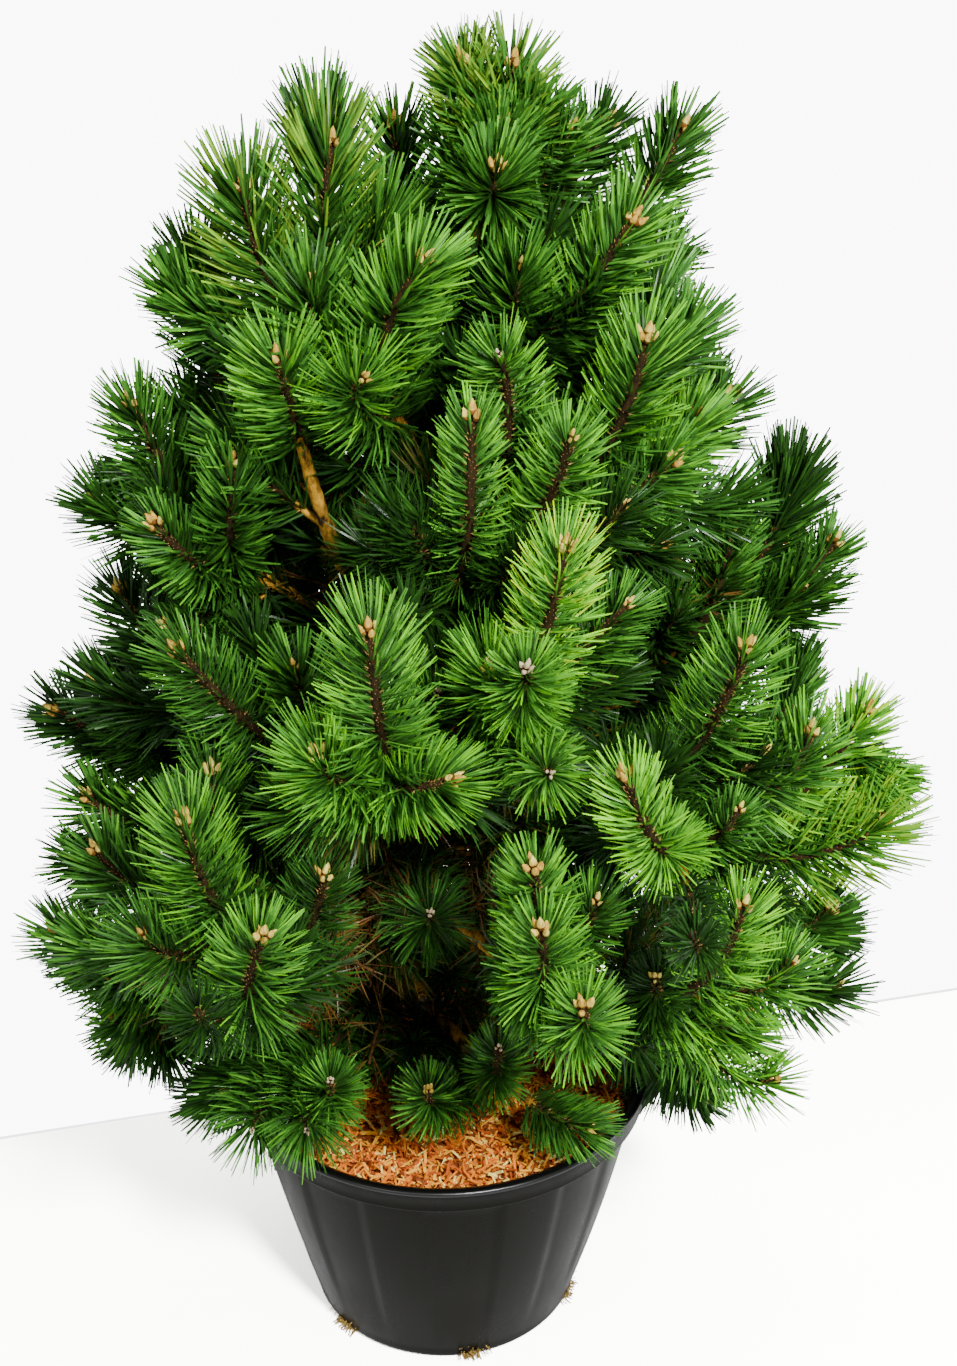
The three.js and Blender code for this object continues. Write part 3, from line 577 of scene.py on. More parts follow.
class Batch:
    """Collects triangle meshes that become one object."""

    def __init__(self):
        self.verts, self.tris, self.index, self.count = [], [], [], 0

    def add(self, verts, tris, index=0):
        verts = np.asarray(verts, float).reshape(-1, 3)
        tris = np.asarray(tris, np.int64).reshape(-1, 3)
        self.verts.append(verts)
        self.tris.append(tris + self.count)
        self.index.append(np.broadcast_to(np.asarray(index), (len(tris),)))
        self.count += len(verts)
        return self

    def merge(self, other):
        self.verts += other.verts
        self.tris += [t + self.count for t in other.tris]
        self.index += other.index
        self.count += other.count

    def faces(self):
        return sum(len(t) for t in self.tris)

    def make(self, name, materials, smooth=False):
        mesh = bpy.data.meshes.new(name)
        verts, tris = np.concatenate(self.verts) * MM, np.concatenate(self.tris)
        mesh.vertices.add(len(verts))
        mesh.vertices.foreach_set("co", verts.astype(np.float32).ravel())
        mesh.loops.add(tris.size)
        mesh.loops.foreach_set("vertex_index", tris.astype(np.int32).ravel())
        mesh.polygons.add(len(tris))
        mesh.polygons.foreach_set("loop_start", np.arange(0, tris.size, 3, dtype=np.int32))
        for material in materials:
            mesh.materials.append(material)
        index = np.concatenate(self.index).astype(np.int32)
        mesh.polygons.foreach_set("material_index", index)
        mesh.polygons.foreach_set("use_smooth", np.full(len(tris), smooth))
        mesh.update(calc_edges=True)
        mesh.validate()
        return add_object(name, mesh)


def unit_rows(v):
    return v / np.maximum(1e-9, np.linalg.norm(v, axis=1, keepdims=True))


def cross_frames(directions):
    """Two directions across each heading, carried along without twist."""
    side = np.array([1.0, 0, 0]) if abs(directions[0][0]) < 0.9 else np.array([0, 1.0, 0])
    sides = []
    for d in directions:
        side = unit(side - d * side.dot(d))
        sides.append(side)
    return np.array(sides), np.cross(directions, sides)


def ring_angles(count):
    return np.arange(count) * TURN / count


def ring_tris(rings, sides):
    """The first and then the second triangle of each cell between stacked rings."""
    i = np.arange(rings - 1)[:, None] * sides
    k = np.arange(sides)[None, :]
    k2 = (k + 1) % sides
    p, q, s, t = i + k, i + k2, i + sides + k2, i + sides + k
    return np.stack([np.stack([p, q, s], -1), np.stack([p, s, t], -1)])


def fan_tris(middle, rim):
    return np.stack([np.full(len(rim), middle), np.roll(rim, -1), rim], -1)


def tube_mesh(points, radii, sides, relief=0):
    """Closed rings about a line; relief[i, k] adds to the radius. Vertices and triangles."""
    points = np.asarray(points)
    u, v = cross_frames(unit_rows(np.gradient(points, axis=0)))
    n = len(points)
    a = ring_angles(sides)
    r = np.asarray(radii, float)[:, None] * np.ones((1, sides)) + relief
    ring = u[:, None, :] * np.cos(a)[None, :, None] + v[:, None, :] * np.sin(a)[None, :, None]
    verts = (points[:, None, :] + ring * r[..., None]).reshape(-1, 3)
    first = np.arange(sides)
    tris = [ring_tris(n, sides).reshape(-1, 3), fan_tris(n * sides, first),
            fan_tris(n * sides + 1, first + (n - 1) * sides)[:, [0, 2, 1]]]
    return np.concatenate([verts, points[:1], points[-1:]]), np.concatenate(tris)


# ---- materials
class Paint:
    """A principled material, with procedural noise led to its inputs."""

    def __init__(self, name, color, roughness, specular=0.5):
        self.mat = bpy.data.materials.new(name)
        self.mat.use_nodes = True
        self.nodes, self.link = self.mat.node_tree.nodes, self.mat.node_tree.links.new
        self.inputs = self.nodes["Principled BSDF"].inputs
        self.inputs["Base Color"].default_value = (*color, 1)
        self.inputs["Roughness"].default_value = roughness
        self.inputs["Specular IOR Level"].default_value = specular

    def node(self, kind, **values):
        node = self.nodes.new("ShaderNode" + kind)
        for key, value in values.items():
            node.inputs[key].default_value = value
        return node

    def noise(self, scale, detail=4, roughness=0.6, stretch=None):
        noise = self.node("TexNoise", Scale=scale, Detail=detail, Roughness=roughness)
        vector = self.node("TexCoord").outputs["Object"]
        if stretch:
            mapping = self.node("Mapping", Scale=stretch)
            self.link(vector, mapping.inputs["Vector"])
            vector = mapping.outputs["Vector"]
        self.link(vector, noise.inputs["Vector"])
        return noise.outputs["Fac"]

    def ramp(self, source, target, *stops):
        """Two stops of position and colour between a noise and one of the inputs."""
        ramp = self.node("ValToRGB")
        for element, (position, color) in zip(ramp.color_ramp.elements, stops):
            element.position, element.color = position, (*color, 1)
        self.link(source, ramp.inputs["Fac"])
        self.link(ramp.outputs["Color"], self.inputs[target])

    def bump(self, source, strength, distance):
        bump = self.node("Bump", Strength=strength, Distance=distance)
        self.link(source, bump.inputs["Height"])
        self.link(bump.outputs["Normal"], self.inputs["Normal"])


def srgb(r, g, b):
    def lin(c):
        c /= 255
        return c / 12.92 if c <= 0.04045 else ((c + 0.055) / 1.055) ** 2.4
    return (lin(r), lin(g), lin(b))


# Needle tones: the needles' own greens, yellows and browns. The pale and fresh tones serve in part
# as painted highlights on sunlit needle ends, the deep and cool_deep tones in part as painted shade
# at shaded roots and deep in the crown.
NEEDLE_TONES = {
    "pale": (152, 232, 30),
    "fresh": (118, 202, 28),
    "bright": (98, 170, 44),
    "green": (70, 130, 42),
    "mid": (48, 96, 30),
    "deep": (35, 71, 20),
    "cool_deep": (28, 58, 20),
    "olive": (92, 90, 36),
    "dead": (108, 72, 32),
    "sheath": (176, 134, 76),
    "yellow": (190, 230, 36),
    "lime": (136, 186, 40),
    "moss": (100, 138, 40),
}
NEEDLES = [Paint("needle_" + name, srgb(*tone), 0.34, 0.22).mat
           for name, tone in NEEDLE_TONES.items()]
TONE_INDEX = {name: k for k, name in enumerate(NEEDLE_TONES)}


def bark_material(name, dark, light, scale, bump, spread=0.18):
    paint = Paint(name, srgb(*dark), 0.85, 0.15)
    paint.ramp(paint.noise(scale, 6, 0.65, (1, 1, 0.35)), "Base Color",
               (0.5 - spread, srgb(*dark)), (0.5 + spread, srgb(*light)))
    paint.bump(paint.noise(scale * 4), 0.7, bump)
    return paint.mat


TRUNK_BARK = bark_material("bark_trunk", (52, 36, 22), (128, 96, 62), 60, 0.002)
BOUGH_BARK = bark_material("bark_bough", (42, 27, 6), (192, 142, 40), 90, 0.002, 0.1)
DEAD_BARK = bark_material("bark_dead", (40, 24, 10), (112, 76, 36), 120, 0.001)
TWIG_BARK = bark_material("bark_twig", (16, 12, 4), (58, 42, 15), 260, 0.0012)
BUD_SKIN = bark_material("bud_scales", (170, 122, 38), (255, 238, 122), 300, 0.0012)
BUD_GOLD = bark_material("bud_gold", (128, 88, 24), (236, 192, 84), 300, 0.0012)
BUD_FOOT = bark_material("bud_foot", (66, 42, 14), (150, 100, 38), 300, 0.0008)
BUD_PALE = bark_material("bud_pale", (176, 150, 110), (232, 214, 178), 420, 0.0006)

# ---- needles
rng = np.random.default_rng(20)
BEND_AT = 0.55
GOLDEN_ANGLE = 2.39996
# towards the key light, and towards the camera
LIGHT_SIDE = np.array([0, -0.9, 0.42])
TO_VIEWER = np.array([0, -0.905, 0.426])
BLADE = np.array([[0, 1, 4], [0, 4, 3], [1, 2, 5], [1, 5, 4], [3, 4, 6], [4, 7, 6], [4, 5, 7]])
PLAIN_BLADE = np.array([[0, 1, 3], [0, 3, 2], [2, 3, 4]])
SHEATH = np.array([[0, 1, 3], [1, 2, 3], [2, 0, 3]])
SHEATH_LENGTH = 7
STUB_LENGTH = 4

# How far needles lean out, in degrees, by their distance below the bud; their relative length
# by the share of the leafy stretch that lies above them; and the draws above which a blade is
# one, two or three steps darker than its shoot, the draws being random with painted shade added low
# on the shoot.
LEAN_AT = [0, 6, 22, 60, 120, 190]
LEANS = [14, 28, 42, 52, 59, 66]
LENGTH_AT = [0, 0.08, 0.35, 0.85, 1]
LENGTHS = [0.86, 0.97, 1.0, 0.94, 0.8]
TONE_STEPS = [0.2, 0.6, 0.92]


def joined(rows, pattern):
    """One mesh from corner arrays, by a pattern of faces that each row of them repeats."""
    tris = pattern[None] + (np.arange(len(rows[0])) * len(rows))[:, None, None]
    return np.stack(rows, 1).reshape(-1, 3), tris.reshape(-1, 3)


def blades(root, direction, bend, length, width, plain):
    """Blunt blades with a bend past the middle: V-shaped of seven faces, or flat of three."""
    across = unit_rows(np.cross(direction, rng.normal(size=root.shape)))
    mid = root + direction * (length * BEND_AT)[:, None] + bend * (length * 0.07)[:, None]
    tip = mid + unit_rows(direction + bend * 0.5) * (length * (1 - BEND_AT))[:, None]
    side = across * width[:, None]
    if plain:
        return joined([root - side * 0.4, root + side * 0.4,
                       mid - side * 0.5, mid + side * 0.5, tip], PLAIN_BLADE)
    ridge = np.cross(across, direction) * width[:, None] * 0.4
    return joined([root - side * 0.4, root + ridge, root + side * 0.4,
                   mid - side * 0.5, mid + ridge, mid + side * 0.5,
                   tip - side * 0.26, tip + side * 0.26], BLADE)


def add_sheaths(batch, root, direction, h, length):
    s1 = unit_rows(np.cross(direction, h + 0.001))
    s2 = np.cross(direction, s1)
    foot = root - direction * 0.5
    rows = [foot + s1 * 1.3, foot - s1 * 0.6 + s2, foot - s1 * 0.6 - s2, foot + direction * length]
    batch.add(*joined(rows, SHEATH), TONE_INDEX["sheath"])


def grow_needles(batch, shoot, pairs, tone, length, opening, width, plain=False, parted=False):
    """Pairs of needles all round the leafy stretch of a shoot, steepest at its bud."""
    line = shoot.line
    u = ((np.arange(pairs) + rng.random(pairs)) / pairs) ** 1.15
    below = 3 + u * (shoot.foliage - 3)
    a = np.arange(pairs) * GOLDEN_ANGLE + rng.normal(0, 0.14, pairs)
    h = line.heading(line.total - below, 10)
    side = unit_rows(np.cross(h, np.array([0.31, 0.22, 0.93])))
    out = side * np.cos(a)[:, None] + np.cross(h, side) * np.sin(a)[:, None]
    p = line.point(line.total - below)
    chance = rng.random(pairs)
    if parted:
        # needles stand sparser on the side turned to the light, so the stem shows
        lit = LIGHT_SIDE - h * (h @ LIGHT_SIDE)[:, None]
        strength = np.linalg.norm(lit, axis=1)
        facing = (out * lit).sum(1) / np.maximum(1e-9, strength)
        bare = (facing > 0.8) & (below > 16) & (chance < 0.66)
        bare |= (facing > 0.3) & (below < 26) & (chance < 0.6)
        bare &= strength > 0.5
        stubs = p[bare] + out[bare] * 3.0, h[bare], out[bare]
        u, below, h, out, p = (array[~bare] for array in (u, below, h, out, p))
        pairs = len(u)
    lean = np.interp(below, LEAN_AT, LEANS) * opening
    lean = lean * (1 + 0.3 * max(0, line.heading(line.total).dot(TO_VIEWER)))
    lean = (lean + rng.normal(0, 5, pairs)) * RAD
    lengths = np.interp(u, LENGTH_AT, LENGTHS) * length * rng.uniform(0.9, 1.1, pairs)
    root = p + out * 3.0 - h * 2
    # painted light and shade: the end half of a blade is dealt its tone and the root half a darker
    # one, as painted shade at the root; each blade steps darker at random, and blades low on the
    # shoot step further down as painted shade
    twins = []
    for twin in (-1, 1):
        tilt = lean + twin * rng.uniform(0.02, 0.11, pairs)
        out2 = unit_rows(out + np.cross(h, out) * (twin * rng.uniform(0.04, 0.16, pairs))[:, None])
        direction = h * np.cos(tilt)[:, None] + out2 * np.sin(tilt)[:, None]
        direction = unit_rows(direction + UP * 0.05)
        bend = h * 0.45 + rng.normal(0, 0.07, (pairs, 3))
        widths = width * rng.uniform(0.85, 1.15, pairs)
        twins.append(blades(root, direction, bend, lengths * rng.uniform(0.93, 1.05, pairs),
                            widths, plain))
    (verts, tris), (verts2, tris2) = twins
    step = rng.random(2 * pairs) + 1.4 * np.maximum(0, np.tile(u, 2) - 0.5)
    down = np.searchsorted(TONE_STEPS, step)
    upper, middle, lower = (LADDERS[tone][np.minimum(down + k, 4)] for k in (0, 1, 2))
    faces = [middle, middle, upper] if plain else [lower, middle, lower, middle] + [upper] * 3
    batch.add(np.concatenate([verts, verts2]), np.concatenate([tris, tris2 + len(verts)]),
              np.stack(faces, 1).ravel())
    if not plain:
        # the papery sheath at the foot of each pair, and the stub where a pair has dropped
        leaning = unit_rows(h * np.cos(lean)[:, None] + out * np.sin(lean)[:, None])
        add_sheaths(batch, root, leaning, h, SHEATH_LENGTH)
        if parted:
            foot, heading, side = stubs
            add_sheaths(batch, foot, unit_rows(heading + side), heading, STUB_LENGTH)


# Each shoot tone's steps, from the lightest down to the darkest: painted light and shade from a
# blade's sunlit end down to its shaded root.
LADDERS = {
    "yellow": "yellow pale bright green mid",
    "warm": "lime lime bright green deep",
    "tipped": "lime moss green mid deep",
    "fresh": "pale fresh bright green deep",
    "bright": "fresh bright green mid deep",
    "green": "bright green mid deep deep",
    "mid": "green mid deep deep cool_deep",
    "deep": "mid deep deep cool_deep cool_deep",
    "old": "olive olive deep deep deep",
    "dead": "dead dead dead olive olive",
}
LADDERS = {name: np.array([TONE_INDEX[tone] for tone in steps.split()])
           for name, steps in LADDERS.items()}
# Each shoot tone's next darker one, for shoots drawn darker as painted shade and for a share drawn
# darker at random.
DARKER = {"yellow": "bright", "warm": "green", "tipped": "green", "fresh": "bright",
          "bright": "green", "green": "mid", "mid": "deep", "deep": "deep"}

# Each mass's buds in their order: tone, needle length in mm, how far the needles open. The tones
# are in part the shoots' own colours and in part painted light and shade: lighter where a shoot
# stands in the light, darker where it stands in the crown's shade.
LOOKS = {
    "top": [("tipped", 60, 1.15), ("tipped", 54, 1.15), ("green", 54, 1), ("green", 48, 1)],
    "top_left": [("tipped", 78, 0.8), ("tipped", 76, 0.85)],
    "upper_front": [("bright", 62, 0.9)],
    "left_shoulder": [("bright", 60, 1.15)],
    "left_high": [("green", 58, 0.95), ("green", 52, 0.8), ("mid", 60, 0.95), ("green", 46, 1)],
    "front_high": [("bright", 41, 1), ("bright", 47, 1), ("bright", 48, 1)],
    "right_high": [("bright", 58, 0.9), ("mid", 56, 1), ("green", 52, 1)],
    "top_right": [("bright", 58, 0.9), ("green", 55, 0.95), ("deep", 54, 1)],
    "yellow_front": [("yellow", 54, 0.95), ("bright", 47, 1), ("green", 46, 1)],
    "middle_front": [("bright", 64, 0.95), ("bright", 55, 1), ("bright", 55, 1), ("green", 31, 1)],
    "left_middle": [("green", 55, 1), ("deep", 58, 1)],
    "left_outer": [("deep", 58, 1), ("green", 56, 1)],
    "left_front": [("bright", 64, 0.92), ("green", 60, 0.95), ("green", 54, 0.9)],
    "front_low_left": [("bright", 55, 1), ("mid", 48, 1)],
    "front_inner": [("mid", 54, 1.2)],
    "left_low": [("green", 60, 1), ("green", 50, 1.1)],
    "front_low_right": [("bright", 47, 1), ("bright", 51, 1), ("bright", 51, 1)],
    "right_middle": [("bright", 58, 1), ("bright", 55, 0.95), ("fresh", 47, 1), ("green", 38, 1),
                     ("green", 50, 0.9)],
    "right_high_outer": [("mid", 68, 0.85), ("green", 48, 0.95), ("green", 48, 0.95)],
    "right_outer": [("warm", 72, 0.95), ("yellow", 54, 0.95)],
    "front_right_low": [("fresh", 52, 1), ("fresh", 48, 1), ("deep", 40, 1)],
    "right_low": [("green", 62, 1), ("mid", 50, 1)],
    "rim_left": [("green", 62, 1), ("mid", 58, 1), ("green", 46, 1)],
    "rim_right": [("green", 46, 1), ("green", 42, 1), ("green", 46, 1)],
    "back_top": [("green", 52, 1)],
}
USUAL_LOOK = [("mid", 52, 1)]

# Side shoots by the leader that bears them: those deep in the crown's shade, drawn two steps darker
# as painted shade; those with shorter needles than their leader's; and those that are drawn dark as
# painted shade, short and without buds.
SHADED = {("front_high", 0), ("front_high", 1), ("right_high", 2), ("yellow_front", 2),
          ("right_middle", 0), ("left_high", 3), ("right_low", 1)}
SIDE_SCALE = {("top_left", 1): 0.72, ("top", 0): 0.8, ("left_high", 3): 0.85,
              ("right_high_outer", 1): 0.9}
FAINT = {("front_high", 0), ("right_middle", 2), ("front_low_left", 0)}

# Leaders with needles on a short stretch only, in mm, and those whose older wood is bare.
SHORT = {("left_shoulder", 0): 90, ("rim_right", 0): 75}
BARE_BELOW = {("left_shoulder", 0), ("left_high", 1), ("left_high", 2), ("rim_right", 0)}
for shoot in kept:
    if shoot.kind == "leader":
        shoot.foliage = SHORT.get(shoot.place, shoot.foliage)


def look_of(shoot):
    looks = LOOKS.get(shoot.mass, USUAL_LOOK)
    tone, length, opening = looks[min(shoot.order, len(looks) - 1)]
    if shoot.kind != "leader":
        length *= SIDE_SCALE.get(shoot.place, 1)
        # fillers, and a random share of the other shoots, are drawn a step darker; for the fillers
        # this is painted shade
        if shoot.kind == "filler" or shoot.roll > 0.4:
            tone = DARKER[tone]
        if shoot.place in SHADED:
            tone = DARKER[DARKER[tone]]
        if shoot.place in FAINT:
            tone, length = "deep", length * 0.75
    return tone, length, opening


LEADER_PAIRS = 250
SIDE_PAIRS = 175
OLD_PAIRS = 110
OLD_STRETCH = 160
PIECE_LIMIT = 190000

# Small shoots: pairs, the tone of some and of the rest, the share of those, needle length.
SMALL_SHOOTS = {"fine": (80, "mid", "deep", 0.4, 50), "spur": (60, "deep", "old", 0.8, 52)}
DEAD_SHOOT = dict(pairs=14, tone="dead", length=44, opening=1.2, width=1.3)
SPUR_WIDTH = 2.4

# Needles get wider with depth, so that the far ones still close against the white wall.
NEEDLE_DEPTHS = (-190, -170, -60, 120)
NEEDLE_WIDTHS = (2.1, 2.9, 3.0, 3.5)

# The shaded place low in front where the inner twigs have died back: its reach in x, y and z.
HOLLOW = ((-170, 50), (-335, -60), (300, 650))
groups = []
batch, names = Batch(), set()
for name, *_ in MASSES:
    part = Batch()
    for shoot in (s for s in all_shoots if s.mass == name):
        shoot.roll = rng.random()
        tone, length, opening = look_of(shoot)
        line, tip = shoot.line, shoot.line.tip
        width = np.interp(tip[1], NEEDLE_DEPTHS, NEEDLE_WIDTHS)
        hollow = all(low < x < high for x, (low, high) in zip(tip, HOLLOW))
        if shoot.kind in SMALL_SHOOTS and hollow and shoot.roll < 0.85:
            shoot.kind = "dead"
        if shoot.kind == "leader":
            grow_needles(part, shoot, LEADER_PAIRS, tone, length, opening, width, parted=True)
            room = line.total - shoot.start - shoot.foliage
            if room > 30 and shoot.place not in BARE_BELOW:
                stretch = min(room, OLD_STRETCH)
                ends = line.total - shoot.foliage
                cut = Course(line.point(np.linspace(ends - stretch, ends, 16)))
                grow_needles(part, replace(shoot, line=cut, foliage=stretch),
                             int(OLD_PAIRS * stretch / OLD_STRETCH), "deep", length, 1.1, width,
                             plain=True)
        elif shoot.kind in ("side", "filler"):
            size = max(0.6, min(1, shoot.foliage / SHOOT_FOLIAGE))
            grow_needles(part, shoot, int(SIDE_PAIRS * size), tone, length, opening, width)
        elif shoot.kind in SMALL_SHOOTS:
            pairs, some, rest, share, length = SMALL_SHOOTS[shoot.kind]
            grow_needles(part, shoot, pairs, some if shoot.roll < share else rest, length, 1,
                         width if shoot.kind == "fine" else SPUR_WIDTH, plain=True)
        elif shoot.kind == "dead":
            grow_needles(part, shoot, plain=True, **DEAD_SHOOT)
    if batch.faces() + part.faces() > PIECE_LIMIT:
        groups.append((batch, names))
        batch, names = Batch(), set()
    names.add("foliage_" + name)
    batch.merge(part)
groups.append((batch, names))
for k, (batch, names) in enumerate(groups):
    needles = batch.make(f"needles_{k + 1}", NEEDLES)
    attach(needles, "root")
    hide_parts(*sorted(names))

# ---- stems and buds
# Radius at the foot and at the tip, sides, and the step between rings.
SIDE_STEM = (4.4, 3.2, 6, 8.0)
STEMS = {"leader": (STEM_RADIUS, 4.2, 7, 7.0), "side": SIDE_STEM, "filler": SIDE_STEM,
         "limb": (7.0, 3.5, 8, 8.0)}
THIN_STEM = (2.6, 1.4, 5, 12.0)
TOP_FOOT_RADIUS = 8.5
BARE_STEM_RADIUS = STEM_RADIUS * 1.35
LOW_BUDS = 480
STEM_RELIEF = 0.35
NEEDLED, GOLDEN, DEAD = 0, 1, 2
twigs = Batch()
for shoot in all_shoots:
    line, start = shoot.line, shoot.start
    r0, r1, sides, step = STEMS.get(shoot.kind, THIN_STEM)
    if shoot.kind == "leader":
        if shoot.first and not start:
            r0 = TOP_FOOT_RADIUS
        if shoot.place in BARE_BELOW and shoot.bud.height > LOW_BUDS:
            r0 = BARE_STEM_RADIUS
    count = max(3, int((line.total - start) / step))
    d = np.linspace(start, line.total - 1, count)
    relief = rng.normal(0, STEM_RELIEF, (count, sides))
    v, t = tube_mesh(line.point(d), np.interp(d, [start, line.total], [r0, r1]), sides, relief)
    # older wood below the needles is golden, the needled wood dark
    wood = np.where(d[:-1] < line.total - shoot.foliage * 0.93, GOLDEN, NEEDLED)
    if shoot.kind in ("dead", "limb"):
        wood[:] = GOLDEN if shoot.kind == "limb" else DEAD
    side_faces = np.tile(np.repeat(wood, sides), 2)
    twigs.add(v, t, np.concatenate([side_faces, np.zeros(len(t) - len(side_faces), int)]))
twig_piece = twigs.make("twigs", [TWIG_BARK, BOUGH_BARK, DEAD_BARK], smooth=True)
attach(twig_piece, "root")

BUD_SIDES = 7
# Sizes of leaders' and side shoots' buds, and what makes low and pale ones smaller.
LEADER_BUDS = 1.12
SIDE_BUDS = 0.8
LESS_BUDS = 0.66
PALE_SCALE = 0.7
FOOT_SHARE = 0.34
BUD_PROFILE = [(0, 0.5), (0.14, 0.86), (0.36, 1.0), (0.6, 0.84), (0.83, 0.46), (1.0, 0.08)]
SKIN, PALE, FOOT, GOLD = range(4)
PALE_BUDS = {("yellow_front", 1), ("middle_front", 3), ("rim_right", 1), ("rim_left", 0),
             ("rim_left", 2), ("front_high", 2), ("front_inner", 0)}
SMALL_BUDS = {("middle_front", 3), ("front_inner", 0), ("right_middle", 3), ("front_right_low", 2),
              ("front_high", 1), ("front_high", 2), ("yellow_front", 2), ("left_low", 1)}
buds = Batch()


def add_bud(foot, direction, radius, length, pale):
    """A pointed egg of six rings, darker at its foot."""
    points = [foot + direction * length * t for t, _ in BUD_PROFILE]
    verts, tris = tube_mesh(points, [radius * w for _, w in BUD_PROFILE], BUD_SIDES)
    height = (verts[tris].mean(1) @ direction - np.dot(foot, direction)) / length
    shade = PALE if pale else SKIN if rng.random() < 0.55 else GOLD
    buds.add(verts, tris, np.where(height < FOOT_SHARE, FOOT, shade))


for shoot in kept:
    if shoot.kind == "side" and shoot.place in FAINT:
        continue
    h = shoot.line.heading(shoot.line.total)
    (u,), (v,) = cross_frames([h])
    leader = shoot.kind == "leader"
    around = int(rng.integers(3, 6)) if leader else int(rng.integers(2, 4))
    pale = shoot.place in PALE_BUDS
    size = LEADER_BUDS if leader else SIDE_BUDS
    if shoot.bud.height < LOW_BUDS or shoot.place in SMALL_BUDS:
        size *= LESS_BUDS
    if pale:
        size *= PALE_SCALE
    tip = shoot.line.tip + h * 3
    add_bud(tip, h, 3.5 * size, 13.5 * size, pale)
    turn = rng.random() * 6.28
    for k in range(around):
        a = turn + k * TURN / around + rng.normal(0, 0.2)
        out = u * math.cos(a) + v * math.sin(a)
        lean = unit(h + out * rng.uniform(0.3, 0.6))
        add_bud(tip + out * 3.6 * size - h * 4, lean, 3.1 * size * rng.uniform(0.85, 1.15),
                11.5 * size * rng.uniform(0.8, 1.2), pale)
bud_piece = buds.make("buds", [BUD_SKIN, BUD_PALE, BUD_FOOT, BUD_GOLD], smooth=True)
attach(bud_piece, "root")

# ---- trunk and boughs
TRUNK_SIDES = 28
BARK_SIDES = 14
BARK_STEP = 4.0
TRUNK_RELIEF = 0.9
BOUGH_RELIEF = 0.45
TRUNK_INSET = 1.5


def bark_relief(count, sides, size):
    """Flaking plates: blocky noise over the ring grid, longer than wide."""
    plates = rng.normal(0, 1, (count // 4 + 2, sides // 2 + 1))
    i, k = np.arange(count)[:, None] // 4, np.arange(sides)[None, :] // 2
    return size * (0.6 * plates[i, k] + 0.4 * rng.normal(0, 1, (count, sides)))


heights = np.arange(TRUNK_Z[0], TRUNK_TOP, BARK_STEP)
points = np.array([trunk_at(z)[0] for z in heights])
f = np.clip((heights - TRUNK_Z[0]) / TRUNK_FLARE_HEIGHT, 0, 1)
radii = np.interp(heights, TRUNK_Z, TRUNK_RADII) * (1 + (TRUNK_FLARE - 1) * (1 - f) ** 2)
relief = bark_relief(len(heights), TRUNK_SIDES, TRUNK_RELIEF)
tube = tube_mesh(points, radii - TRUNK_INSET, TRUNK_SIDES, relief)
trunk = Batch().add(*tube).make("trunk_bark", [TRUNK_BARK], smooth=True)
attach(trunk, "root")
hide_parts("trunk")

bough_batch = Batch()
for bough in boughs:
    d = np.arange(0, bough.to, BARK_STEP)
    relief = bark_relief(len(d), BARK_SIDES, BOUGH_RELIEF)
    bough_batch.add(*tube_mesh(bough.line.point(d), bough_radius(bough, d), BARK_SIDES, relief))
bough_piece = bough_batch.make("bough_bark", [BOUGH_BARK], smooth=True)
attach(bough_piece, "root")
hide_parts(*["bough_" + b.mass for b in boughs])

# ---- pot
PANELS = 9
PANEL_TURN = 0.12
PANEL_RELIEF = 2.4
POT_COLUMNS = 240
POT_BULGE = 4.0
POT_SHIFT = [-3.0, 0, 0]
POT_SKIN = 2.6
COLLAR_DROP = 5.0
# The collar band from the band's foot, and the lip from its top: outwards and upwards.
COLLAR_BAND = [(-1, 0.3), (1, 1.4), (1.2, 3)]
LIP = [(-1.2, -6), (0, -4.4), (0, -2.4), (-1.4, -0.8), (-4, 0), (-8, -0.8), (-13, -3), (-16, -7),
       (-17.5, -26)]


def smooth_step(a, b, x):
    t = np.clip((x - a) / (b - a), 0, 1)
    return t * t * (3 - 2 * t)


